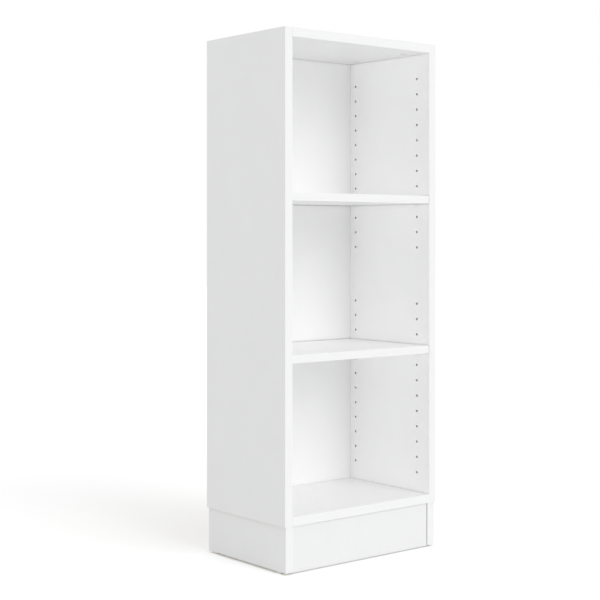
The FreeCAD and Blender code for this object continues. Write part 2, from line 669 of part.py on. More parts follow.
def build_base_side(name, side):
    """A base side under the side panel, set in from it, thickened inwards from its outside."""
    body = new_body(f"base_{name}_side")
    outline = box_corners(f"{BASE_FRONT_Y} + band", BASE_REAR_Y, "glide_rise", "base_height")
    add_prism(body, "YZ_Plane", outline, "board")
    inner = "board" if side < 0 else "0"
    inwards = -1 if side < 0 else 1
    drill(body, "YZ_Plane", inner, inwards, "cam_radius + hole_play", "cam_hole",
          [(y, "base_height - cam_setback") for y in BASE_BOLTS_Y])
    middle_x = "board / 2"
    dowel_x = f"((board + {side} * base_side_inset) / 2)"
    drill_end(body, "XY_Plane", "base_height", -1,
              [(middle_x, y) for y in BASE_BOLTS_Y], [(dowel_x, y) for y in BASE_DOWELS_Y])
    drill_face(body, "YZ_Plane", inner, inwards,
               [(RAIL_CENTRE_Y, RAIL_MID_Z)], [(RAIL_CENTRE_Y, z) for z in RAIL_DOWELS_Z])
    drill(body, "YZ_Plane", inner, inwards, "small_screw_radius + hole_play", "small_screw_length",
          [(y, "roller_rise") for y in CABINET_SCREWS_Y])
    ends = (f"({BASE_FRONT_Y} + glide_inset)", f"({BASE_REAR_Y} - glide_inset)")
    drill(body, "XY_Plane", "glide_rise", 1, "glide_pin_radius + hole_play", "glide_pin + hole_play",
          [(middle_x, y) for y in ends])
    faces_x = (f"{side} * {BASE_INNER_X}", f"{side} * (width / 2 - base_side_inset)")
    low_x, high_x = sorted(faces_x, key=number)
    place(body, x=low_x)
    finish(body)
    band_corners = box_corners(low_x, high_x, "glide_rise", "base_height")
    finish(front_band(f"base_{name}_edging", band_corners, BASE_FRONT_Y))
    return [((f"{side} * {BASE_BOLT_X}", y, "glide_rise"), (1, 0, 0), (0, 0, 1)) for y in ends]


def build_base_rail():
    body = new_body("base_back_rail")
    half = BASE_INNER_X
    add_prism(body, "XZ_Plane", box_corners(f"-{half}", half, "glide_rise", "base_height"), "board")
    holes = [drill(body, "XZ_Plane", "0", 1, "cam_radius + hole_play", "cam_hole",
                   [(f"{half} - cam_setback", RAIL_MID_Z)])]
    holes += drill_end(body, "YZ_Plane", half, -1,
                       [("board / 2", RAIL_MID_Z)], [("board / 2", z) for z in RAIL_DOWELS_Z])
    mirror(body, holes, "YZ_Plane")
    drill(body, "XZ_Plane", "0", 1, "small_screw_radius + hole_play", "small_screw_length", LATCH_SCREWS)
    place(body, y=RAIL_Y)
    finish(body)


def build_base():
    glide_places = []
    for name, side in SIDES:
        glide_places += build_base_side(name, side)
    build_base_rail()
    glide = turned_body("glide_original", "XZ_Plane", "V_Axis", (
        ("0", "-glide_rise"), ("glide_radius - glide_chamfer", "-glide_rise"),
        ("glide_radius", "glide_chamfer - glide_rise"),
        ("glide_radius", "0"), ("glide_pin_radius", "0"),
        ("glide_pin_radius", "glide_pin - 2 * glide_pin_radius"), ("0", "glide_pin")))
    copies("base_glides", glide, glide_places)


def build_latch():
    """A touch latch on the back rail: a press on the drawer's front lets its plunger push the drawer out."""
    body = new_body("push_latch_housing")
    low, high = "latch_rise - latch_height / 2", "latch_rise + latch_height / 2"
    add_prism(body, "XZ_Plane", box_corners("-ear_width / 2", "ear_width / 2", low, high), "ear", "-ear")
    add_prism(body, "XZ_Plane", box_corners("-latch_width / 2", "latch_width / 2", low, high),
              "latch_depth", "-latch_depth")
    bore_centre = ("0", "latch_rise")
    drill(body, "XZ_Plane", "-latch_depth", 1, "plunger_radius + hole_play", "plunger_bore", (bore_centre,))
    drill(body, "XZ_Plane", "-ear", 1, "small_screw_radius + hole_play", "ear", LATCH_SCREWS)
    place(body, y=RAIL_Y)
    finish(body)
    start = BOX_REAR_Y
    end = f"({RAIL_Y} - latch_depth + plunger_sunk)"
    outline = rod_outline("0", f"({end} - {start})", "plunger_radius", "dowel_tip")
    plunger = turned_body("push_latch_plunger", "XZ_Plane", "H_Axis", outline)
    plunger.Placement = FreeCAD.Placement(FreeCAD.Vector(), turn((0, 1, 0), (0, 0, 1)))
    place(plunger, y=start, z="latch_rise")
    finish(plunger)


# ---------------------------------------------------------------- drawer

def build_drawer_front():
    body = new_body("drawer_front")
    half = f"({BASE_INNER_X} - front_gap)"
    core = f"({half} - band)"
    top = "(base_height - front_gap)"
    add_prism(body, "XZ_Plane", box_corners(f"-{core}", core, "front_rise + band", f"{top} - band"), "board")
    drill(body, "XZ_Plane", "board", -1, "front_screw_radius + hole_play",
          "front_screw_length - box_board + hole_play", FRONT_SCREWS)
    place(body, y=FRONT_BOARD_Y)
    finish(body)
    face_y = number(FRONT_BOARD_Y)
    strips = []
    for label, corners, axis, level in (
            ("left", box_corners(f"-{half}", f"-{core}", "front_rise", top), "x", f"-{half}"),
            ("right", box_corners(core, half, "front_rise", top), "x", half),
            ("lower", box_corners(f"-{core}", core, "front_rise", "front_rise + band"), "z", "front_rise"),
            ("upper", box_corners(f"-{core}", core, f"{top} - band", top), "z", top)):
        outside = number(level)

        def outer(middle):
            return abs(middle.y - face_y) < NEAR and abs(getattr(middle, axis) - outside) < NEAR

        strip = edge_band(f"drawer_front_{label}_band", "XZ_Plane", corners, "board", FRONT_BOARD_Y, outer)
        strips.append(strip)
    gather("drawer_front_edging", strips)


def build_drawer_box():
    """Two sides, the box's front and back between them, and a bottom sheet in grooves all round."""
    top = "(box_rise + box_height)"
    groove_low = "(box_rise + box_sheet_rise - sheet_play)"
    groove_high = "(box_rise + box_sheet_rise + sheet + sheet_play)"
    inner_x = f"({BOX_X} - box_board)"
    corner_holes = [(y, z) for y in BOX_BOARD_CENTRES_Y for z in CORNER_SCREWS_Z]
    for name, side in SIDES:
        body = new_body(f"drawer_{name}_side")
        add_prism(body, "YZ_Plane", box_corners(BOX_Y, BOX_REAR_Y, "box_rise", top), "box_board")
        inner, outer = ("box_board", "0") if side < 0 else ("0", "box_board")
        inwards = -1 if side < 0 else 1
        groove = box_corners(BOX_Y, BOX_REAR_Y, groove_low, groove_high)
        rout(body, "YZ_Plane", inner, inwards, "box_groove", groove)
        drill(body, "YZ_Plane", outer, -inwards, "corner_screw_radius + hole_play", "box_board", corner_holes)
        drill(body, "YZ_Plane", outer, -inwards, "corner_screw_head_radius + hole_play", "corner_screw_head",
              corner_holes)
        drill(body, "XY_Plane", "box_rise", 1, "small_screw_radius + hole_play", "small_screw_length - steel",
              [("box_board / 2", y) for y in DRAWER_SCREWS_Y])
        place(body, x=f"-{BOX_X}" if side < 0 else inner_x)
        finish(body)
    for label, front_y, inner, inwards in (("drawer_box_front", BOX_Y, "box_board", -1),
                                           ("drawer_back", f"({BOX_REAR_Y} - box_board)", "0", 1)):
        body = new_body(label)
        add_prism(body, "XZ_Plane", box_corners(f"-{inner_x}", inner_x, "box_rise", top), "box_board")
        rout(body, "XZ_Plane", inner, inwards, "box_groove",
             box_corners(f"-{inner_x}", inner_x, groove_low, groove_high))
        depth = "corner_screw_head + corner_screw_length - box_board + hole_play"
        ends = drill(body, "YZ_Plane", inner_x, -1, "corner_screw_radius + hole_play", depth,
                     [("box_board / 2", z) for z in CORNER_SCREWS_Z])
        mirror(body, [ends], "YZ_Plane")
        if label == "drawer_box_front":
            drill(body, "XZ_Plane", "0", 1, "front_screw_radius + hole_play", "box_board", FRONT_SCREWS)
        place(body, y=front_y)
        finish(body)
    reach = "(box_groove - sheet_play)"
    bottom = new_body("drawer_bottom")
    add_prism(bottom, "XY_Plane",
              box_corners(f"-({inner_x} + {reach})", f"({inner_x} + {reach})",
                          f"{BOX_Y} + box_board - {reach}", f"{BOX_REAR_Y} - box_board + {reach}"), "sheet")
    place(bottom, z="box_rise + box_sheet_rise")
    finish(bottom)


# ---------------------------------------------------------------- drawer runners

def build_cabinet_rail(name, side):
    """A folded channel on the base side, open towards the drawer, with a way in for the drawer's roller."""
    body = new_body(f"{name}_cabinet_rail")
    wall = f"({side} * {BASE_INNER_X})"

    def inset(text):
        return f"({wall} - {side} * ({text}))"

    low, high = f"({CHANNEL_FLOOR_Z} - steel)", f"({CHANNEL_TOP_Z} + steel)"
    channel = add_prism(body, "XZ_Plane", (
        (inset("0"), low), (inset("rail_reach"), low),
        (inset("rail_reach"), CHANNEL_FLOOR_Z), (inset("steel"), CHANNEL_FLOOR_Z),
        (inset("steel"), CHANNEL_TOP_Z), (inset("rail_reach"), CHANNEL_TOP_Z),
        (inset("rail_reach"), high), (inset("0"), high)), CABINET_RAIL_LENGTH)
    wall_x = number(wall)

    def at_fold(middle, direction):
        return abs(direction.y) > 1 - NEAR and abs(middle.x - wall_x) < NEAR

    round_edges(body, channel, "rail_bend", at_fold)
    rout(body, "XY_Plane", high, -1, "steel + lift_gap", box_corners(
        inset("steel"), inset("rail_reach + cut_past"), "rail_notch_start", "rail_notch_start + rail_notch"))
    axle_centre = ("roller_inset", "roller_rise")
    drill(body, "YZ_Plane", wall, -side, "axle_radius + hole_play", "steel", (axle_centre,))
    drill(body, "YZ_Plane", wall, -side, "small_screw_radius + hole_play", "steel",
          [(f"{y} - {CABINET_RAIL_Y}", "roller_rise") for y in CABINET_SCREWS_Y])
    place(body, y=CABINET_RAIL_Y)
    finish(body)


def build_drawer_rail(name, side):
    """A folded rail under and beside the drawer side, whose outer flange runs over the cabinet's roller."""
    body = new_body(f"{name}_drawer_rail")
    wall = f"({side} * {BASE_INNER_X})"

    def inset(text):
        return f"({wall} - {side} * ({text}))"

    low = "(box_rise - steel)"
    flange_top = f"({RUNNING_FLANGE_Z} + steel)"
    web = "runner_space - steel"
    foot = "runner_space + box_board"
    add_prism(body, "XZ_Plane", (
        (inset(web), low), (inset(foot), low), (inset(foot), "box_rise"),
        (inset("runner_space"), "box_rise"), (inset("runner_space"), flange_top),
        (inset("running_flange_gap"), flange_top), (inset("running_flange_gap"), RUNNING_FLANGE_Z),
        (inset(web), RUNNING_FLANGE_Z)), BOX_LENGTH)
    drill(body, "YZ_Plane", inset(web), -side, "axle_radius + hole_play", "steel",
          ((f"{BOX_LENGTH} - roller_inset", "roller_rise"),))
    drill(body, "XY_Plane", low, 1, "small_screw_radius + hole_play", "steel",
          [(inset("runner_space + box_board / 2"), f"{y} - {BOX_Y}") for y in DRAWER_SCREWS_Y])
    place(body, y=BOX_Y)
    finish(body)


def build_roller(label, side, y):
    """A nylon roller with dished sides, turned about its own X axis."""
    width = "roller_width"
    shoulder = "roller_radius - roller_chamfer"
    body = turned_body(label, "XY_Plane", "H_Axis", (
        ("0", "axle_radius + hole_play"), ("0", "roller_hub_radius"), ("roller_dish", "roller_hub_radius"),
        ("roller_dish", "roller_rim_radius"), ("0", "roller_rim_radius"), ("0", shoulder),
        ("roller_chamfer", "roller_radius"), (f"{width} - roller_chamfer", "roller_radius"),
        (width, shoulder),
        (width, "roller_rim_radius"), (f"{width} - roller_dish", "roller_rim_radius"),
        (f"{width} - roller_dish", "roller_hub_radius"), (width, "roller_hub_radius"),
        (width, "axle_radius + hole_play")))
    start = f"({BASE_INNER_X} - roller_gap)"
    place(body, x=f"{start} - roller_width" if side > 0 else f"-{start}", y=y, z="roller_rise")
    finish(body)


def build_axles(label, web, web_way, y):
    """Riveted axles, each from its rail's web, through a shoulder and the roller, to its head.

    web is the web's outer face, measured in from the base side. web_way is 1 where the axle runs inwards.
    """
    near = "roller_gap" if web_way > 0 else "(roller_gap + roller_width)"
    far = "(roller_gap + roller_width)" if web_way > 0 else "roller_gap"
    shoulder_end = f"({web_way} * ({near} - ({web})) - axle_side_play)"
    head_start = f"({web_way} * ({far} - ({web})) + axle_side_play)"
    axle = turned_body(f"{label}_original", "XY_Plane", "H_Axis", (
        ("0", "0"), ("0", "axle_radius"), ("steel", "axle_radius"), ("steel", "axle_shoulder_radius"),
        (shoulder_end, "axle_shoulder_radius"), (shoulder_end, "axle_radius"), (head_start, "axle_radius"),
        (head_start, "axle_head_radius"), (f"{head_start} + axle_head", "axle_head_radius"),
        (f"{head_start} + axle_head", "0")))
    copies(label, axle, [((f"{side} * ({BASE_INNER_X} - ({web}))", y, "roller_rise"),
                          (-side * web_way, 0, 0), (0, 0, 1)) for name, side in SIDES])


def screw_body(label, radius, length, head_radius, head):
    """A screw along its own X axis, its head's underside at 0."""
    return turned_body(label, "XY_Plane", "H_Axis", (
        (f"-{head}", "0"), (f"-{head}", head_radius), ("0", head_radius), ("0", radius),
        (f"{length} - 2 * {radius}", radius), (length, "0")))


def build_screws():
    small = screw_body("small_screw_original", "small_screw_radius", "small_screw_length",
                       "small_screw_head_radius", "small_screw_head")
    copies("cabinet_rail_screws", small, [
        ((f"{side} * ({BASE_INNER_X} - steel)", y, "roller_rise"), (side, 0, 0), (0, 0, 1))
        for name, side in SIDES for y in CABINET_SCREWS_Y])
    copies("drawer_rail_screws", small, [
        ((f"{side} * ({BOX_X} - box_board / 2)", y, "(box_rise - steel)"), (0, 0, 1), (1, 0, 0))
        for name, side in SIDES for y in DRAWER_SCREWS_Y])
    ear_face = f"({RAIL_Y} - ear)"
    copies("push_latch_screws", small, [((x, ear_face, z), (0, 1, 0), (0, 0, 1)) for x, z in LATCH_SCREWS])
    corner = screw_body("corner_screw_original", "corner_screw_radius", "corner_screw_length",
                        "corner_screw_head_radius", "corner_screw_head")
    copies("drawer_corner_screws", corner, [
        ((f"{side} * ({BOX_X} - corner_screw_head)", y, z), (-side, 0, 0), (0, 0, 1))
        for name, side in SIDES for y in BOX_BOARD_CENTRES_Y for z in CORNER_SCREWS_Z])
    front = screw_body("front_screw_original", "front_screw_radius", "front_screw_length",
                       "front_screw_head_radius", "front_screw_head")
    copies("drawer_front_screws", front, [((x, f"({BOX_Y} + box_board)", z), (0, -1, 0), (0, 0, 1))
                                          for x, z in FRONT_SCREWS])


def build_runners():
    for name, side in SIDES:
        build_cabinet_rail(name, side)
        build_drawer_rail(name, side)
        build_roller(f"{name}_cabinet_roller", side, CABINET_ROLLER_Y)
        build_roller(f"{name}_drawer_roller", side, DRAWER_ROLLER_Y)
    build_axles("cabinet_roller_axles", "0", 1, CABINET_ROLLER_Y)
    build_axles("drawer_roller_axles", "runner_space", -1, DRAWER_ROLLER_Y)


# ---------------------------------------------------------------- checks and output

def check_document():
    """Stops at a failed feature, an empty or open shape, or a cut that removes nothing."""
    for item in doc.Objects:
        if {"Invalid", "Error"} & set(item.State):
            raise RuntimeError(f"{item.Label} is {item.State}")
        if item.TypeId == "PartDesign::Pocket":
            before = item.BaseFeature.Shape.Volume
            if before - item.Shape.Volume < 1e-3:
                raise RuntimeError(f"{item.Label} removes nothing")
    for item in subparts:
        if item.Shape.isNull() or not item.Shape.isValid() or not item.Shape.Solids:
            raise RuntimeError(f"{item.Label} has no valid solid")


def export_subparts():
    os.makedirs("parts", exist_ok=True)
    for item in subparts:
        item.Shape.exportStep(f"parts/{item.Label}.step")


build_carcass()
build_back_panel()
build_base()
build_fittings()
build_latch()
build_drawer_front()
build_drawer_box()
build_runners()
build_screws()
doc.recompute()
check_document()
export_subparts()
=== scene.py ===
import json
import math

import bpy
from bpy.props import FloatProperty, FloatVectorProperty, IntProperty, PointerProperty
from mathutils import Matrix, Vector


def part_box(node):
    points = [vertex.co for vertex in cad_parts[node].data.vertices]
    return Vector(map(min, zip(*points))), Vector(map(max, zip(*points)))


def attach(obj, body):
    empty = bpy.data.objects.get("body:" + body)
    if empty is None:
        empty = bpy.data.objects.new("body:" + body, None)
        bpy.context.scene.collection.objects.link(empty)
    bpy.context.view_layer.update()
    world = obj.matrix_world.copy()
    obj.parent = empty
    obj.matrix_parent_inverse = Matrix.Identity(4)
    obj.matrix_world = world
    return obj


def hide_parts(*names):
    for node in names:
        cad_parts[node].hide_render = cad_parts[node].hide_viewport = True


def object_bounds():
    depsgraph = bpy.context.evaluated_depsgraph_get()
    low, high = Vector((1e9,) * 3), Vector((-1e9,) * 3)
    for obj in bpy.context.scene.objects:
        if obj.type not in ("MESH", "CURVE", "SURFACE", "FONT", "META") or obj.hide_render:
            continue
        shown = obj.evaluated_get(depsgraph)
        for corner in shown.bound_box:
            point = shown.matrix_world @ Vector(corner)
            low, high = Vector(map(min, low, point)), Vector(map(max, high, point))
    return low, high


bl_info = {
    "name": "Bookcase Dresser",
    "version": (1, 0, 0),
    "blender": (4, 5, 0),
    "location": "View3D > Sidebar > Bookcase",
    "description": "Finishes, fittings and a stage for a flat-pack bookcase with a drawer in its base",
    "category": "Object",
}

MM = 0.001
# Places nearer to each other than this are one place.
SAME_PLACE = 0.01 * MM
# A face is square to an axis when that part of its normal is past this.
SQUARE = 0.99
# Points past this share of a turned piece's radius are on its rim.
RIM = 0.98
# Bends sharper than this stay crisp when a piece is smoothed.
CRISP_BEND = math.radians(35)
# The darkest blotch in an even white, as a share of it.
CLOUDED = 0.985
# Sockets of a colour mix node by their place: its factor, its two colours, and its result.
FACTOR, FIRST, SECOND, MIXED = 0, 6, 7, 2

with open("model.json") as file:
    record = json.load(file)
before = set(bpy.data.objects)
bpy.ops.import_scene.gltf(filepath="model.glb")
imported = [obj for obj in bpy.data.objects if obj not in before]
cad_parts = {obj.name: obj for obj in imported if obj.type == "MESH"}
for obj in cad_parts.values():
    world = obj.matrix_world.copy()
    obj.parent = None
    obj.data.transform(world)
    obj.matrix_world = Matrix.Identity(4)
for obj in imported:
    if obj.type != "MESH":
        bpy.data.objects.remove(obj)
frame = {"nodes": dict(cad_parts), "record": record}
CAD_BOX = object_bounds()
NODES = frame["nodes"]
RECORD = frame["record"]
NODE_BODY = {node: body for body, nodes in RECORD["behaviour"]["bodies"].items() for node in nodes}

CARCASS_BOARDS = ("left_side_panel", "right_side_panel", "top_panel", "bottom_panel", "upper_shelf",
                  "lower_shelf", "base_left_side", "base_right_side", "base_back_rail")
BOX_BOARDS = ("drawer_box_front", "drawer_left_side", "drawer_right_side", "drawer_back")
SHEETS = ("back_panel", "drawer_bottom")
EDGE_BANDS = [node for node in NODES if node.endswith("edging")]
RAILS = ("left_cabinet_rail", "right_cabinet_rail", "left_drawer_rail", "right_drawer_rail")
ROLLERS = ("left_cabinet_roller", "right_cabinet_roller", "left_drawer_roller", "right_drawer_roller")
PLATED = ("shelf_pins", "cam_bolts", "cabinet_roller_axles", "drawer_roller_axles")
SCREWS = ("cabinet_rail_screws", "drawer_rail_screws", "push_latch_screws", "drawer_corner_screws",
          "drawer_front_screws")


def linear(code):
    """An sRGB hex colour as linear red, green and blue."""
    parts = [int(code[place:place + 2], 16) / 255 for place in (0, 2, 4)]
    return tuple(part / 12.92 if part <= 0.04045 else ((part + 0.055) / 1.055) ** 2.4 for part in parts)


# ---------------------------------------------------------------- settings

class BookcaseFinish(bpy.types.PropertyGroup):
    """Colours and pattern sizes of the finishes."""
    melamine: FloatVectorProperty(
        name="Melamine", description="White facing of the boards",
        subtype="COLOR", size=3, min=0, max=1, default=linear("F4F4F4"))
    front: FloatVectorProperty(
        name="Drawer front", description="Facing of the drawer's front, from another batch",
        subtype="COLOR", size=3, min=0, max=1, default=linear("EFEFEF"))
    chipboard: FloatVectorProperty(
        name="Chipboard", description="Raw chips in sawn edges",
        subtype="COLOR", size=3, min=0, max=1, default=linear("E6D3B2"))
    # Painted fill light: holes and grooves get a paler colour than the sawn chips, which lightens the shade
    # inside them.
    drilled_painted_light: FloatVectorProperty(
        name="Drilled walls", description="Burnished chips in holes and grooves",
        subtype="COLOR", size=3, min=0, max=1, default=linear("F1E8D9"))
    edging: FloatVectorProperty(
        name="Edging", description="Plastic edge bands",
        subtype="COLOR", size=3, min=0, max=1, default=linear("F4F4F4"))
    lacquer: FloatVectorProperty(
        name="Lacquer", description="Face of the thin fibreboard",
        subtype="COLOR", size=3, min=0, max=1, default=linear("ECECEC"))
    fibre: FloatVectorProperty(
        name="Fibre", description="Raw side of the thin fibreboard",
        subtype="COLOR", size=3, min=0, max=1, default=linear("A48B6B"))
    chip: FloatProperty(
        name="Chip", description="Width of a wood chip",
        subtype="DISTANCE", unit="LENGTH", default=1.8 * MM, min=0.5 * MM)
    # Real dimples are about 0.4 mm wide, too fine to show from where the whole bookcase is seen: drawn
    # four times as coarse.
    dimple: FloatProperty(
        name="Facing dimple", description="Width of the dimples pressed into the facing",
        subtype="DISTANCE", unit="LENGTH", default=1.6 * MM, min=0.2 * MM)


class BookcaseFittings(bpy.types.PropertyGroup):
    """Sizes of the details that the fittings get."""
    recess_span: FloatProperty(
        name="Recess span", description="Cross recess, as a share of the screw head's width",
        subtype="FACTOR", default=0.62, min=0.2, max=0.8)
    thread_pitch: FloatProperty(
        name="Thread pitch", description="Between the ridges of a screw's thread",
        subtype="DISTANCE", unit="LENGTH", default=1.8 * MM, min=0.5 * MM)
    cap_round: FloatProperty(
        name="Cap rounding", description="Radius of a cap's edge",
        subtype="DISTANCE", unit="LENGTH", default=0.6 * MM, min=0.1 * MM)
    flutes: IntProperty(
        name="Flutes", description="Grooves along a dowel", default=14, min=6, max=24)


class BookcaseStage(bpy.types.PropertyGroup):
    """Camera, floor and lamps."""
    lens: FloatProperty(
        name="Lens", description="Focal length on a sensor 36 mm wide",
        subtype="DISTANCE_CAMERA", default=80.58, min=10)
    turn: FloatProperty(
        name="Turn", description="Camera's direction, to the right of straight ahead",
        subtype="ANGLE", unit="ROTATION", default=math.radians(39.31))
    place: FloatVectorProperty(
        name="Place", description="Camera's place",
        subtype="XYZ", unit="LENGTH", size=3, default=(-1.785, -2.1075, 0.642))
    shift: FloatProperty(
        name="Shift", description="Lens shift downwards, as a share of the picture's height", default=0.1057)
    sky: FloatProperty(
        name="Sky", description="Even light from all around", default=0.775, min=0)
    key: FloatProperty(
        name="Key", description="Strength of the soft lamp in front", default=0.845, min=0)
    key_height: FloatProperty(
        name="Key height", description="Lamp's angle above the horizon",
        subtype="ANGLE", unit="ROTATION", default=math.radians(28))
    key_side: FloatProperty(
        name="Key side", description="Lamp's angle to the right of straight in front",
        subtype="ANGLE", unit="ROTATION", default=math.radians(6))
    key_spread: FloatProperty(
        name="Key spread", description="Angle that the lamp covers in the sky",
        subtype="ANGLE", unit="ROTATION", default=math.radians(40))
    ceiling_fill: FloatProperty(
        name="Ceiling fill", description="Brightness of the soft panels under the compartments' ceilings",
        default=0.37, min=0)
    shelf_fill: FloatProperty(
        name="Shelf fill", description="Brightness of the soft panels on the compartments' floors",
        default=0.3, min=0)
    lift: FloatProperty(
        name="Floor lift", description="Light that the floor shows the camera alone", default=0.26, min=0)
    floor: FloatVectorProperty(
        name="Floor", description="Colour of the floor",
        subtype="COLOR", size=3, min=0, max=1, default=linear("F3F4F4"))


# ---------------------------------------------------------------- small tools

def add_node(tree, kind, values=None, links=None, **settings):
    """Adds a shader node, sets its settings and socket values and links its inputs."""
    node = tree.nodes.new(kind)
    for name, value in settings.items():
        setattr(node, name, value)
    for socket, value in (values or {}).items():
        node.inputs[socket].default_value = value
    for socket, source in (links or {}).items():
        tree.links.new(source, node.inputs[socket])
    return node


def new_material(name):
    """A material with no nodes yet, and its node tree."""
    material = bpy.data.materials.new(name)
    material.use_nodes = True
    tree = material.node_tree
    tree.nodes.clear()
    return material, tree


def finish_surface(tree, values, links, bump=None, bump_depth=0.0):
    """Ends a material with one principled shader, over an optional bump height of a real depth."""
    if bump is not None:
        raised = add_node(tree, "ShaderNodeBump", {"Strength": 1.0, "Distance": bump_depth},
                          {"Height": bump})
        links = {**links, "Normal": raised.outputs["Normal"]}
    shader = add_node(tree, "ShaderNodeBsdfPrincipled", values, links)
    add_node(tree, "ShaderNodeOutputMaterial", links={"Surface": shader.outputs["BSDF"]})


def mottled(tree, point, width, low=0.0, high=1.0, detail=2.0):
    """A noise with blotches of a real width, spread between two values."""
    noise = add_node(tree, "ShaderNodeTexNoise", {"Scale": 1 / width, "Detail": detail}, {"Vector": point})
    spread = add_node(tree, "ShaderNodeMapRange",
                      {"From Min": 0.3, "From Max": 0.7, "To Min": low, "To Max": high},
                      {"Value": noise.outputs["Fac"]})
    return spread.outputs["Result"]


def rgba(colour, share=1.0):
    """A colour's four values, darkened to a share of its brightness."""
    return (*(part * share for part in colour), 1)


def dress(node, material):
    """Gives a CAD node one material."""
    slots = NODES[node].material_slots
    if not slots:
        raise RuntimeError(f"{node} has no material slot")
    for place in slots:
        place.material = material


def on_planes(tree, point, planes):
    """1 on or very near any of the planes, each an axis and a level, and 0 elsewhere."""
    reach = 0.03 * MM
    parts = add_node(tree, "ShaderNodeSeparateXYZ", links={"Vector": point})
    mask = None
    for axis, level in planes:
        here = add_node(tree, "ShaderNodeMath", {1: level, 2: reach}, {0: parts.outputs[axis]},
                        operation="COMPARE").outputs["Value"]
        if mask is None:
            mask = here
        else:
            mask = add_node(tree, "ShaderNodeMath", links={0: mask, 1: here},
                            operation="MAXIMUM").outputs["Value"]
    return mask


def spans(low, high):
    """A box's length along each axis."""
    return [high[axis] - low[axis] for axis in range(3)]


def thin_axis(low, high):
    """The axis along which a box is shortest."""
    lengths = spans(low, high)
    return lengths.index(min(lengths))


def long_axis(low, high):
    """The axis along which a box is longest."""
    lengths = spans(low, high)
    return lengths.index(max(lengths))


# ---------------------------------------------------------------- finishes

def melamine_chipboard(node, finish, white, wrapped):
    """Chipboard pressed with a white melamine facing: satin and finely dimpled, tan chips where it is cut.

    A wrapped board has the facing on its top and bottom edges too.
    """
    material, tree = new_material(f"melamine_chipboard_{node}")
    point = add_node(tree, "ShaderNodeTexCoord").outputs["Object"]
    low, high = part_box(node)
    across = thin_axis(low, high)
    faces = [(across, low[across]), (across, high[across])]
    edges = [(axis, level[axis]) for axis in range(3) for level in (low, high) if axis != across]
    if wrapped:
        faces += [(2, low[2]), (2, high[2])]
    faced = on_planes(tree, point, faces)

    cloud = mottled(tree, point, width=60 * MM)
    facing = add_node(tree, "ShaderNodeMix", {FIRST: rgba(white), SECOND: rgba(white, CLOUDED)},
                      {FACTOR: cloud}, data_type="RGBA").outputs[MIXED]
    # Painted fill light: raw surfaces off the edge planes, which are the holes and grooves, take the paler
    # drilled colour that lightens the shade inside them. The edge planes take the tan chips.
    cut = add_node(tree, "ShaderNodeMix", {FIRST: rgba(finish.drilled_painted_light), SECOND: rgba(finish.chipboard)},
                   {FACTOR: on_planes(tree, point, edges)}, data_type="RGBA").outputs[MIXED]
    chips = add_node(tree, "ShaderNodeTexVoronoi", {"Scale": 1 / finish.chip, "Randomness": 1.0},
                     {"Vector": point})
    tint = add_node(tree, "ShaderNodeSeparateColor", links={"Color": chips.outputs["Color"]}).outputs["Red"]
    darkest_chip = 0.7
    shade = add_node(tree, "ShaderNodeMapRange", {"To Min": 1.0, "To Max": darkest_chip},
                     {"Value": tint}).outputs["Result"]
    raw = add_node(tree, "ShaderNodeVectorMath", links={0: cut, 1: shade},
                   operation="MULTIPLY").outputs["Vector"]
    colour = add_node(tree, "ShaderNodeMix", links={FACTOR: faced, FIRST: raw, SECOND: facing},
                      data_type="RGBA").outputs[MIXED]

    satin = mottled(tree, point, width=4 * finish.dimple, low=0.34, high=0.42)
    rough = add_node(tree, "ShaderNodeMix", {"A": 0.85}, {"Factor": faced, "B": satin}).outputs["Result"]

    # Where the board is cut, each chip is torn out towards its middle by up to the second depth.
    dimple_depth = 0.01 * MM
    tear_depth = 0.4 * MM
    dimples = mottled(tree, point, width=finish.dimple, detail=1.0)
    torn = add_node(tree, "ShaderNodeMath", {1: tear_depth / dimple_depth}, {0: chips.outputs["Distance"]},
                    operation="MULTIPLY").outputs["Value"]
    height = add_node(tree, "ShaderNodeMix", links={"Factor": faced, "A": torn, "B": dimples})
    finish_surface(tree, {"IOR": 1.5}, {"Base Color": colour, "Roughness": rough},
                   bump=height.outputs["Result"], bump_depth=dimple_depth)
    return material


def abs_edge_band(node, finish):
    """Extruded ABS edging: a little glossier than the facing, with faint lines along its length."""
    material, tree = new_material(f"abs_edge_band_{node}")
    # Die lines are about 0.1 mm apart, too fine to show: drawn 0.8 mm apart, and fifty times as long.
    stretch = [1.0, 1.0, 1.0]
    stretch[long_axis(*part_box(node))] = 1 / 50
    place = add_node(tree, "ShaderNodeTexCoord").outputs["Object"]
    point = add_node(tree, "ShaderNodeMapping", {"Scale": stretch}, {"Vector": place}).outputs["Vector"]
    lines = mottled(tree, point, width=0.8 * MM)
    colour = add_node(tree, "ShaderNodeMix",
                      {FIRST: rgba(finish.edging), SECOND: rgba(finish.edging, CLOUDED)},
                      {FACTOR: lines}, data_type="RGBA").outputs[MIXED]
    rough = mottled(tree, point, width=1.5 * MM, low=0.26, high=0.34)
    finish_surface(tree, {"IOR": 1.53}, {"Base Color": colour, "Roughness": rough},
                   bump=lines, bump_depth=0.004 * MM)
    return material


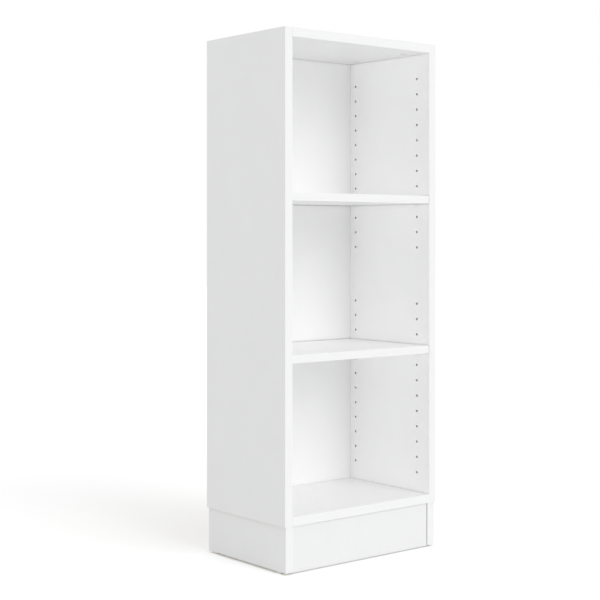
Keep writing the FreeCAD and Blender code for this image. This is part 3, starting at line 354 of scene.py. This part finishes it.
def lacquered_fibreboard(node, finish):
    """Thin hardboard with a rolled white lacquer on its inner face and a raw brown rear with fine fibres."""
    material, tree = new_material(f"lacquered_fibreboard_{node}")
    point = add_node(tree, "ShaderNodeTexCoord").outputs["Object"]
    low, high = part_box(node)
    across = thin_axis(low, high)
    inner_face = low[across] if node == "back_panel" else high[across]
    lacquered = on_planes(tree, point, [(across, inner_face)])

    cloud = mottled(tree, point, width=90 * MM)
    paint = add_node(tree, "ShaderNodeMix",
                     {FIRST: rgba(finish.lacquer), SECOND: rgba(finish.lacquer, CLOUDED)},
                     {FACTOR: cloud}, data_type="RGBA").outputs[MIXED]
    # Matted fibres are about 0.3 mm thick, too fine to show: their felt is drawn in tufts of 1.4 mm.
    fibres = mottled(tree, point, width=1.4 * MM, detail=6.0)
    darkest_tuft = 0.62
    raw = add_node(tree, "ShaderNodeMix",
                   {FIRST: rgba(finish.fibre), SECOND: rgba(finish.fibre, darkest_tuft)},
                   {FACTOR: fibres}, data_type="RGBA").outputs[MIXED]
    colour = add_node(tree, "ShaderNodeMix", links={FACTOR: lacquered, FIRST: raw, SECOND: paint},
                      data_type="RGBA").outputs[MIXED]

    roll = mottled(tree, point, width=8 * MM, low=0.40, high=0.48)
    rough = add_node(tree, "ShaderNodeMix", {"A": 0.9}, {"Factor": lacquered, "B": roll})
    orange_peel = mottled(tree, point, width=3 * MM, detail=1.0)
    height = add_node(tree, "ShaderNodeMix", links={"Factor": lacquered, "A": fibres, "B": orange_peel})
    finish_surface(tree, {"IOR": 1.5}, {"Base Color": colour, "Roughness": rough.outputs["Result"]},
                   bump=height.outputs["Result"], bump_depth=0.01 * MM)
    return material


def zinc_plate():
    """Bright zinc plating on turned steel: pale grey with a faint spangle of duller patches.

    All plated pieces share one material.
    """
    name = "bright_zinc_plated_steel"
    if name in bpy.data.materials:
        return bpy.data.materials[name]
    material, tree = new_material(name)
    point = add_node(tree, "ShaderNodeTexCoord").outputs["Object"]
    patches = mottled(tree, point, width=2.5 * MM)
    colour = add_node(tree, "ShaderNodeMix",
                      {FIRST: rgba(linear("C9CBCE")), SECOND: rgba(linear("B1B1AC"))},
                      {FACTOR: patches}, data_type="RGBA").outputs[MIXED]
    rough = mottled(tree, point, width=1.2 * MM, low=0.24, high=0.4)
    finish_surface(tree, {"Metallic": 1.0}, {"Base Color": colour, "Roughness": rough})
    return material


def die_cast_zinc():
    """Die-cast zinc alloy as it leaves the tumbler: darker, matt and finely pitted."""
    material, tree = new_material("tumbled_die_cast_zinc")
    point = add_node(tree, "ShaderNodeTexCoord").outputs["Object"]
    # Tumbled pits are about 0.2 mm wide, too fine to show: drawn three times as wide.
    pits = mottled(tree, point, width=0.6 * MM, detail=4.0)
    colour = add_node(tree, "ShaderNodeMix",
                      {FIRST: rgba(linear("A3A4A8")), SECOND: rgba(linear("85868A"))},
                      {FACTOR: pits}, data_type="RGBA").outputs[MIXED]
    rough = mottled(tree, point, width=1.0 * MM, low=0.42, high=0.58)
    finish_surface(tree, {"Metallic": 1.0}, {"Base Color": colour, "Roughness": rough},
                   bump=pits, bump_depth=0.02 * MM)
    return material


def moulded_plastic(name, light, dark, grit, roughness):
    """Injection-moulded plastic: satin, with the even grit that a spark-eroded mould leaves.

    The real grit is about 0.1 mm wide, too fine to show, so it is drawn several times as coarse.
    """
    material, tree = new_material(name)
    point = add_node(tree, "ShaderNodeTexCoord").outputs["Object"]
    texture = mottled(tree, point, width=grit, detail=3.0)
    colour = add_node(tree, "ShaderNodeMix", {FIRST: rgba(linear(light)), SECOND: rgba(linear(dark))},
                      {FACTOR: texture}, data_type="RGBA").outputs[MIXED]
    rough = mottled(tree, point, width=3 * grit, low=roughness - 0.05, high=roughness + 0.05)
    finish_surface(tree, {"IOR": 1.52}, {"Base Color": colour, "Roughness": rough},
                   bump=texture, bump_depth=0.015 * MM)
    return material


def beech():
    """Turned beech: warm tan with the short darker flecks of its rays."""
    material, tree = new_material("turned_beech")
    point = add_node(tree, "ShaderNodeTexCoord").outputs["Object"]
    fleck = 1.2 * MM
    flecks = add_node(tree, "ShaderNodeTexVoronoi", {"Scale": 1 / fleck}, {"Vector": point})
    shade = add_node(tree, "ShaderNodeMapRange",
                     {"From Min": 0.1, "From Max": 0.5, "To Min": 1.0, "To Max": 0.0},
                     {"Value": flecks.outputs["Distance"]}).outputs["Result"]
    colour = add_node(tree, "ShaderNodeMix",
                      {FIRST: rgba(linear("CFA271")), SECOND: rgba(linear("A9784A"))},
                      {FACTOR: shade}, data_type="RGBA").outputs[MIXED]
    rough = mottled(tree, point, width=2 * MM, low=0.55, high=0.7)
    finish_surface(tree, {"IOR": 1.5}, {"Base Color": colour, "Roughness": rough},
                   bump=shade, bump_depth=0.008 * MM)
    return material


def epoxy_coat():
    """White epoxy powder coat on folded steel: glossy with a soft orange peel."""
    material, tree = new_material("epoxy_powder_coat")
    point = add_node(tree, "ShaderNodeTexCoord").outputs["Object"]
    peel = mottled(tree, point, width=2.2 * MM, detail=1.0)
    colour = add_node(tree, "ShaderNodeMix",
                      {FIRST: rgba(linear("EBEBE9")), SECOND: rgba(linear("E8E8E6"))},
                      {FACTOR: peel}, data_type="RGBA").outputs[MIXED]
    rough = mottled(tree, point, width=5 * MM, low=0.22, high=0.3)
    finish_surface(tree, {"IOR": 1.55}, {"Base Color": colour, "Roughness": rough},
                   bump=peel, bump_depth=0.006 * MM)
    return material


# ---------------------------------------------------------------- modelling tools

def deselect():
    """Leaves edit mode and selects nothing, the CAD nodes included."""
    if bpy.context.object is not None and bpy.context.object.mode != "OBJECT":
        bpy.ops.object.mode_set(mode="OBJECT")
    bpy.ops.object.select_all(action="DESELECT")


def select_only(items):
    """Selects some objects alone and makes the first the active one."""
    deselect()
    for item in items:
        item.select_set(True)
    bpy.context.view_layer.objects.active = items[0]


def select_faces(piece, chosen):
    """In edit mode, selects the faces whose centre and normal pass a test."""
    bpy.ops.object.mode_set(mode="EDIT")
    bpy.ops.mesh.select_mode(type="FACE")
    bpy.ops.mesh.select_all(action="DESELECT")
    bpy.ops.object.mode_set(mode="OBJECT")
    for face in piece.data.polygons:
        face.select = chosen(face.center, face.normal)
    bpy.ops.object.mode_set(mode="EDIT")


def select_edges(piece, chosen):
    """In edit mode, selects the edges whose two ends pass a test."""
    bpy.ops.object.mode_set(mode="EDIT")
    bpy.ops.mesh.select_mode(type="EDGE")
    bpy.ops.mesh.select_all(action="DESELECT")
    bpy.ops.object.mode_set(mode="OBJECT")
    points = piece.data.vertices
    for edge in piece.data.edges:
        edge.select = all(chosen(points[end].co) for end in edge.vertices)
    bpy.ops.object.mode_set(mode="EDIT")


def add_cylinder(sides, radius, length):
    """An upright cylinder with its top at the origin."""
    deselect()
    bpy.ops.mesh.primitive_cylinder_add(vertices=sides, radius=radius, depth=length,
                                        location=(0, 0, -length / 2))
    bpy.ops.object.transform_apply(location=True, rotation=True, scale=True)
    return bpy.context.object


def round_top(piece, radius, segments):
    """Rounds the rim of a piece whose top is at the origin."""
    select_edges(piece, lambda point: point.z > -SAME_PLACE)
    bpy.ops.mesh.bevel(offset=radius, segments=segments, affect="EDGES")
    bpy.ops.object.mode_set(mode="OBJECT")


def start_shank(piece, head_radius, shank_radius):
    """Insets the face under a head to the shank's width and leaves it selected."""
    select_faces(piece, lambda centre, normal: normal.z < -SQUARE)
    bpy.ops.mesh.inset(thickness=head_radius - shank_radius)


def extrude_down(step, scale, pivot_depth):
    """Extrudes the selected face down by a step and scales it about the axis."""
    bpy.ops.mesh.extrude_region_move(TRANSFORM_OT_translate={"value": (0, 0, -step)})
    bpy.ops.transform.resize(value=(scale, scale, 1), center_override=(0, 0, pivot_depth))


def smooth(piece):
    """Shades a piece smooth, apart from its crisp bends."""
    select_only([piece])
    bpy.ops.object.shade_smooth_by_angle(angle=CRISP_BEND)


def solids_of(node):
    """Each separate solid of a CAD node: its points, read from a merged copy of the node's mesh."""
    copy = NODES[node].copy()
    copy.data = NODES[node].data.copy()
    bpy.context.collection.objects.link(copy)
    select_only([copy])
    bpy.ops.object.mode_set(mode="EDIT")
    bpy.ops.mesh.select_all(action="SELECT")
    bpy.ops.mesh.remove_doubles(threshold=0.001 * MM)
    bpy.ops.mesh.separate(type="LOOSE")
    bpy.ops.object.mode_set(mode="OBJECT")
    parts = list(bpy.context.selected_objects)
    solids = [[vertex.co.copy() for vertex in part.data.vertices] for part in parts]
    for part in parts:
        bpy.data.objects.remove(part)
    return solids


def corners(points):
    """The low and the high corner of a solid's box."""
    low = Vector([min(point[axis] for point in points) for axis in range(3)])
    high = Vector([max(point[axis] for point in points) for axis in range(3)])
    return low, high


def end_place(points, axis, way):
    """The middle of a solid's end along an axis, and the direction that this end faces.

    The way is 1 for the high end and -1 for the low one.
    """
    low, high = corners(points)
    end = (low + high) / 2
    end[axis] = high[axis] if way > 0 else low[axis]
    direction = Vector((0, 0, 0))
    direction[axis] = way
    return end, direction


def fastener_place(points):
    """Where a turned fastener's head ends, and the direction from its tip to its head."""
    low, high = corners(points)
    axis = long_axis(low, high)
    centre = (low + high) / 2
    away = [math.hypot(*(point[other] - centre[other] for other in range(3) if other != axis))
            for point in points]
    widest = max(away)
    rim = [point[axis] for point, far in zip(points, away) if far > RIM * widest]
    return end_place(points, axis, 1 if sum(rim) / len(rim) > centre[axis] else -1)


def measure_fastener(points):
    """Length, head radius, shank radius and head height of a turned fastener."""
    head, direction = fastener_place(points)
    along = [(head - point).dot(direction) for point in points]
    away = [(point - head - (point - head).dot(direction) * direction).length for point in points]
    head_radius = max(away)
    head_height = max(depth for depth, far in zip(along, away) if far > RIM * head_radius)
    below_head = head_height + 0.1 * MM
    shank_radius = max(far for depth, far in zip(along, away) if depth > below_head)
    return max(along), head_radius, shank_radius, head_height


def cross_recess(piece, span, width, depth):
    """Sinks a tapered cross into the top of a piece."""
    taper = 0.45
    for turn in (0, math.pi / 2):
        deselect()
        bpy.ops.mesh.primitive_cube_add(size=1, location=(0, 0, 0), rotation=(0, 0, turn))
        cutter = bpy.context.object
        cutter.scale = (span, width, 2 * depth)
        bpy.ops.object.transform_apply(location=True, rotation=True, scale=True)
        select_faces(cutter, lambda centre, normal: normal.z < -SQUARE)
        bpy.ops.transform.resize(value=(taper, taper, 1), center_override=(0, 0, -depth))
        bpy.ops.object.mode_set(mode="OBJECT")
        select_only([piece])
        cut = piece.modifiers.new("Recess", "BOOLEAN")
        cut.operation = "DIFFERENCE"
        cut.object = cutter
        cut.solver = "EXACT"
        bpy.ops.object.modifier_apply(modifier=cut.name)
        bpy.data.objects.remove(cutter)


def model_screw(sizes, fittings):
    """A screw with a rounded head, a cross recess and a ridged shank, its head's top at the origin."""
    length, head_radius, shank_radius, head_height = sizes
    screw = add_cylinder(24, head_radius, head_height)
    round_top(screw, 0.35 * head_height, segments=3)
    start_shank(screw, head_radius, shank_radius)
    # Between two ridges the shank narrows to its core, and its last stretch narrows to a tip.
    core_share = 0.78
    tip_share = 0.1
    tip_length = 2 * shank_radius
    half_pitch = fittings.thread_pitch / 2
    depth = -head_height
    extrude_down(half_pitch, core_share, depth)
    depth -= half_pitch
    while -depth + fittings.thread_pitch < length - tip_length:
        extrude_down(half_pitch, 1 / core_share, depth)
        extrude_down(half_pitch, core_share, depth)
        depth -= fittings.thread_pitch
    extrude_down(length + depth, tip_share, depth)
    bpy.ops.object.mode_set(mode="OBJECT")
    recess_span = 2 * head_radius * fittings.recess_span
    cross_recess(screw, recess_span, width=0.28 * recess_span, depth=0.75 * head_height)
    smooth(screw)
    return screw


def model_nail(sizes):
    """A nail with a domed head and a plain pointed shank, its head's top at the origin."""
    length, head_radius, shank_radius, head_height = sizes
    nail = add_cylinder(20, head_radius, head_height)
    round_top(nail, 0.6 * head_height, segments=4)
    start_shank(nail, head_radius, shank_radius)
    point_share = 0.1
    point_length = 2 * shank_radius
    extrude_down(length - head_height - point_length, 1.0, -head_height)
    extrude_down(point_length, point_share, -length)
    bpy.ops.object.mode_set(mode="OBJECT")
    smooth(nail)
    return nail


def model_cap(radius, thickness, rounding):
    """A round cap with a rounded edge and a shallow dish, its top at the origin."""
    rim = 0.35 * radius
    slope = 0.06 * radius
    dish_depth = 0.25 * thickness
    cap = add_cylinder(40, radius, thickness)
    round_top(cap, rounding, segments=4)
    select_faces(cap, lambda centre, normal: normal.z > SQUARE)
    bpy.ops.mesh.inset(thickness=rim)
    bpy.ops.mesh.inset(thickness=slope, depth=-dish_depth)
    bpy.ops.object.mode_set(mode="OBJECT")
    smooth(cap)
    return cap


def model_dowel(radius, length, flutes):
    """A fluted dowel with chamfered ends, its top at the origin."""
    chamfer = 0.25 * radius
    flute_share = 0.9
    sides_per_flute = 4
    turn = 2 * math.pi / flutes
    dowel = add_cylinder(sides_per_flute * flutes, radius, length)
    # One side in four is a flute's bottom, nearer to the axis than the rest.
    select_edges(dowel, lambda point: (math.atan2(point.y, point.x) + turn / 8) % turn < turn / 4)
    bpy.ops.transform.resize(value=(flute_share, flute_share, 1), center_override=(0, 0, -length / 2))
    bpy.ops.object.mode_set(mode="OBJECT")
    end_share = 1 - chamfer / radius
    for end, way in ((0.0, 1), (-length, -1)):
        select_faces(dowel, lambda centre, normal:
                     abs(centre.z - end) < SAME_PLACE and normal.z * way > SQUARE)
        bpy.ops.transform.translate(value=(0, 0, -way * chamfer))
        bpy.ops.mesh.extrude_region_move(TRANSFORM_OT_translate={"value": (0, 0, way * chamfer)})
        bpy.ops.transform.resize(value=(end_share, end_share, 1), center_override=(0, 0, end))
        bpy.ops.object.mode_set(mode="OBJECT")
    return dowel


def repeat_piece(name, model, places, node, material):
    """Copies a model, drawn with its top at the origin and facing up, to each place, and joins the copies.

    The joined piece takes the place of a CAD node.
    """
    copies = []
    for top, direction in places:
        copy = model.copy()
        copy.data = model.data.copy()
        bpy.context.collection.objects.link(copy)
        turn = Vector((0, 0, 1)).rotation_difference(direction).to_matrix().to_4x4()
        copy.matrix_world = Matrix.Translation(top) @ turn
        copies.append(copy)
    bpy.data.objects.remove(model)
    select_only(copies)
    if len(copies) > 1:
        bpy.ops.object.join()
    piece = bpy.context.object
    bpy.ops.object.transform_apply(location=True, rotation=True, scale=True)
    piece.name = name
    piece.data.materials.clear()
    piece.data.materials.append(material)
    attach(piece, NODE_BODY[node])
    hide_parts(node)


# ---------------------------------------------------------------- operators

class BOOKCASE_OT_finish_boards(bpy.types.Operator):
    """Gives the boards their melamine facing and raw chipboard edges"""
    bl_idname = "bookcase.finish_boards"
    bl_label = "Finish Boards"

    def execute(self, context):
        finish = context.scene.bookcase_finish
        for node in CARCASS_BOARDS:
            dress(node, melamine_chipboard(node, finish, finish.melamine, wrapped=False))
        dress("drawer_front", melamine_chipboard("drawer_front", finish, finish.front, wrapped=False))
        for node in BOX_BOARDS:
            dress(node, melamine_chipboard(node, finish, finish.melamine, wrapped=True))
        return {"FINISHED"}


class BOOKCASE_OT_finish_edges(bpy.types.Operator):
    """Gives the edge bands their extruded plastic"""
    bl_idname = "bookcase.finish_edges"
    bl_label = "Finish Edge Bands"

    def execute(self, context):
        for node in EDGE_BANDS:
            dress(node, abs_edge_band(node, context.scene.bookcase_finish))
        return {"FINISHED"}


class BOOKCASE_OT_finish_sheets(bpy.types.Operator):
    """Gives the back panel and the drawer's bottom their lacquered fibreboard"""
    bl_idname = "bookcase.finish_sheets"
    bl_label = "Finish Thin Sheets"

    def execute(self, context):
        for node in SHEETS:
            dress(node, lacquered_fibreboard(node, context.scene.bookcase_finish))
        return {"FINISHED"}


class BOOKCASE_OT_finish_fittings(bpy.types.Operator):
    """Gives the rails, rollers, cams, pins, glides and the latch their metals and plastics"""
    bl_idname = "bookcase.finish_fittings"
    bl_label = "Finish Fittings"

    def execute(self, context):
        coat = epoxy_coat()
        plate = zinc_plate()
        nylon = moulded_plastic("moulded_natural_nylon", "E9E7DE", "DEDBD0", grit=0.8 * MM, roughness=0.36)
        latch = moulded_plastic("moulded_grey_acetal", "A9ACAE", "9A9DA0", grit=0.5 * MM, roughness=0.4)
        glide = moulded_plastic("moulded_white_polyethylene", "ECECE8", "E2E2DD", grit=0.9 * MM,
                                roughness=0.48)
        for node in RAILS:
            dress(node, coat)
        for node in ROLLERS:
            dress(node, nylon)
        for node in PLATED:
            dress(node, plate)
        for node in ("push_latch_housing", "push_latch_plunger"):
            dress(node, latch)
        dress("base_glides", glide)
        dress("cam_locks", die_cast_zinc())
        return {"FINISHED"}


class BOOKCASE_OT_add_screws(bpy.types.Operator):
    """Adds the screws with their cross recesses"""
    bl_idname = "bookcase.add_screws"
    bl_label = "Add Screws"

    def execute(self, context):
        for node in SCREWS:
            solids = solids_of(node)
            screw = model_screw(measure_fastener(solids[0]), context.scene.bookcase_fittings)
            places = [fastener_place(points) for points in solids]
            repeat_piece(f"{node}_cross_recessed", screw, places, node, zinc_plate())
        return {"FINISHED"}


class BOOKCASE_OT_add_nails(bpy.types.Operator):
    """Adds the back panel's nails with their domed heads"""
    bl_idname = "bookcase.add_nails"
    bl_label = "Add Nails"

    def execute(self, context):
        node = "back_panel_nails"
        solids = solids_of(node)
        nail = model_nail(measure_fastener(solids[0]))
        places = [fastener_place(points) for points in solids]
        repeat_piece("back_panel_nails_domed", nail, places, node, zinc_plate())
        return {"FINISHED"}


class BOOKCASE_OT_add_caps(bpy.types.Operator):
    """Adds the moulded caps over the cams"""
    bl_idname = "bookcase.add_caps"
    bl_label = "Add Cam Caps"

    def execute(self, context):
        node = "cam_covers"
        solids = solids_of(node)
        lengths = spans(*corners(solids[0]))
        thickness = min(lengths)
        rounding = min(context.scene.bookcase_fittings.cap_round, 0.9 * thickness)
        cap = model_cap(max(lengths) / 2, thickness, rounding)
        white = moulded_plastic("moulded_white_polypropylene", "EFEFED", "E8E8E5", grit=0.7 * MM,
                                roughness=0.42)
        places = [self.place(points) for points in solids]
        repeat_piece("cam_caps_moulded", cap, places, node, white)
        return {"FINISHED"}

    def place(self, points):
        """A cap's outer end: it faces down, to the front or, on a side, the middle of the bookcase."""
        low, high = corners(points)
        axis = thin_axis(low, high)
        return end_place(points, axis, -1 if axis > 0 or low[axis] + high[axis] > 0 else 1)


class BOOKCASE_OT_add_dowels(bpy.types.Operator):
    """Adds the fluted beech dowels"""
    bl_idname = "bookcase.add_dowels"
    bl_label = "Add Dowels"

    def execute(self, context):
        node = "wooden_dowels"
        solids = solids_of(node)
        lengths = spans(*corners(solids[0]))
        dowel = model_dowel(min(lengths) / 2, max(lengths), context.scene.bookcase_fittings.flutes)
        places = [end_place(points, long_axis(*corners(points)), 1) for points in solids]
        repeat_piece("wooden_dowels_fluted", dowel, places, node, beech())
        return {"FINISHED"}


class BOOKCASE_OT_set_stage(bpy.types.Operator):
    """Sets the camera, the white floor and the soft lamps"""
    bl_idname = "bookcase.set_stage"
    bl_label = "Set Stage"

    def execute(self, context):
        stage = context.scene.bookcase_stage
        self.add_camera(context, stage)
        self.add_floor(stage)
        self.add_sky(context, stage)
        self.add_key(stage)
        self.add_fills(stage)
        context.scene.view_settings.view_transform = "Standard"
        return {"FINISHED"}

    def add_camera(self, context, stage):
        """A level camera with a lens shift, so that upright edges stay parallel."""
        deselect()
        bpy.ops.object.camera_add(location=stage.place, rotation=(math.pi / 2, 0, -stage.turn))
        camera = bpy.context.object
        camera.data.sensor_width = 36
        camera.data.lens = stage.lens
        camera.data.shift_y = -stage.shift
        context.scene.camera = camera

    def add_floor(self, stage):
        """A matt floor that takes the shadow.

        It is lifted for the camera alone, so that it is white where it is lit.
        """
        width = 24
        deselect()
        bpy.ops.mesh.primitive_plane_add(size=width, location=(0, 0, CAD_BOX[0][2]))
        floor = bpy.context.object
        floor.name = "floor"
        material, tree = new_material("white_paper_sweep")
        seen = add_node(tree, "ShaderNodeLightPath").outputs["Is Camera Ray"]
        lift = add_node(tree, "ShaderNodeMath", {1: stage.lift}, {0: seen}, operation="MULTIPLY")
        matt = add_node(tree, "ShaderNodeBsdfDiffuse", {"Color": rgba(stage.floor)})
        glow = add_node(tree, "ShaderNodeEmission", links={"Strength": lift.outputs["Value"]})
        both = add_node(tree, "ShaderNodeAddShader",
                        links={0: matt.outputs["BSDF"], 1: glow.outputs["Emission"]})
        add_node(tree, "ShaderNodeOutputMaterial", links={"Surface": both.outputs["Shader"]})
        floor.data.materials.append(material)

    def add_sky(self, context, stage):
        """An even sky that lights at one level and is seen, mirrored and looked through as white."""
        world = bpy.data.worlds.new("studio")
        world.use_nodes = True
        tree = world.node_tree
        tree.nodes.clear()
        path = add_node(tree, "ShaderNodeLightPath")
        direct = add_node(tree, "ShaderNodeMath", operation="MAXIMUM",
                          links={0: path.outputs["Is Camera Ray"], 1: path.outputs["Is Glossy Ray"]})
        shown = add_node(tree, "ShaderNodeMath", operation="MAXIMUM",
                         links={0: direct.outputs["Value"], 1: path.outputs["Is Transmission Ray"]})
        level = add_node(tree, "ShaderNodeMix", {"A": stage.sky, "B": 1.0},
                         {"Factor": shown.outputs["Value"]})
        light = add_node(tree, "ShaderNodeBackground", {"Color": (1, 1, 1, 1)},
                         {"Strength": level.outputs["Result"]})
        add_node(tree, "ShaderNodeOutputWorld", links={"Surface": light.outputs["Background"]})
        context.scene.world = world

    def add_key(self, stage):
        """A wide soft lamp in front and a little above. Only its turn matters, not its place."""
        deselect()
        turn = (math.pi / 2 - stage.key_height, 0, stage.key_side)
        bpy.ops.object.light_add(type="SUN", location=(0, -3, 1), rotation=turn)
        lamp = bpy.context.object
        lamp.data.energy = stage.key
        lamp.data.angle = stage.key_spread

    def add_fills(self, stage):
        """Two soft panels in each compartment, one shining down and one up.

        No camera or reflection shows them. Each is close to its ceiling or floor and nearly as wide.
        """
        openings = RECORD["physics"]["openings"]
        compartments = [row["box_m"] for row in openings if "compartment" in row["name"]]
        off = 1.2 * MM
        margin = 0.998
        for low, high in compartments:
            middle = (Vector(low) + Vector(high)) / 2
            for level, turn, brightness in ((high[2] - off, 0, stage.ceiling_fill),
                                            (low[2] + off, math.pi, stage.shelf_fill)):
                deselect()
                bpy.ops.object.light_add(type="AREA", location=(middle.x, middle.y, level),
                                         rotation=(turn, 0, 0))
                lamp = bpy.context.object
                lamp.data.shape = "RECTANGLE"
                lamp.data.size = margin * (high[0] - low[0])
                lamp.data.size_y = margin * (high[1] - low[1])
                lamp.data.energy = brightness * math.pi * lamp.data.size * lamp.data.size_y
                lamp.visible_camera = False
                lamp.visible_glossy = False


class BOOKCASE_PT_dresser(bpy.types.Panel):
    """Lists the steps that dress the bookcase"""
    bl_idname = "BOOKCASE_PT_dresser"
    bl_label = "Bookcase"
    bl_space_type = "VIEW_3D"
    bl_region_type = "UI"
    bl_category = "Bookcase"

    def draw(self, context):
        scene = context.scene
        for operator in OPERATORS:
            self.layout.operator(operator.bl_idname)
        for group in (scene.bookcase_finish, scene.bookcase_fittings, scene.bookcase_stage):
            for name in group.__annotations__:
                self.layout.prop(group, name)


OPERATORS = (BOOKCASE_OT_finish_boards, BOOKCASE_OT_finish_edges, BOOKCASE_OT_finish_sheets,
             BOOKCASE_OT_finish_fittings, BOOKCASE_OT_add_screws, BOOKCASE_OT_add_nails,
             BOOKCASE_OT_add_caps, BOOKCASE_OT_add_dowels, BOOKCASE_OT_set_stage)
CLASSES = (BookcaseFinish, BookcaseFittings, BookcaseStage, *OPERATORS, BOOKCASE_PT_dresser)


def register():
    for item in CLASSES:
        bpy.utils.register_class(item)
    bpy.types.Scene.bookcase_finish = PointerProperty(type=BookcaseFinish)
    bpy.types.Scene.bookcase_fittings = PointerProperty(type=BookcaseFittings)
    bpy.types.Scene.bookcase_stage = PointerProperty(type=BookcaseStage)


def unregister():
    del bpy.types.Scene.bookcase_stage
    del bpy.types.Scene.bookcase_fittings
    del bpy.types.Scene.bookcase_finish
    for item in reversed(CLASSES):
        bpy.utils.unregister_class(item)


def main():
    register()
    bpy.ops.bookcase.finish_boards()
    bpy.ops.bookcase.finish_edges()
    bpy.ops.bookcase.finish_sheets()
    bpy.ops.bookcase.finish_fittings()
    bpy.ops.bookcase.add_screws()
    bpy.ops.bookcase.add_nails()
    bpy.ops.bookcase.add_caps()
    bpy.ops.bookcase.add_dowels()
    bpy.ops.bookcase.set_stage()
    deselect()


if __name__ == "__main__":
    main()
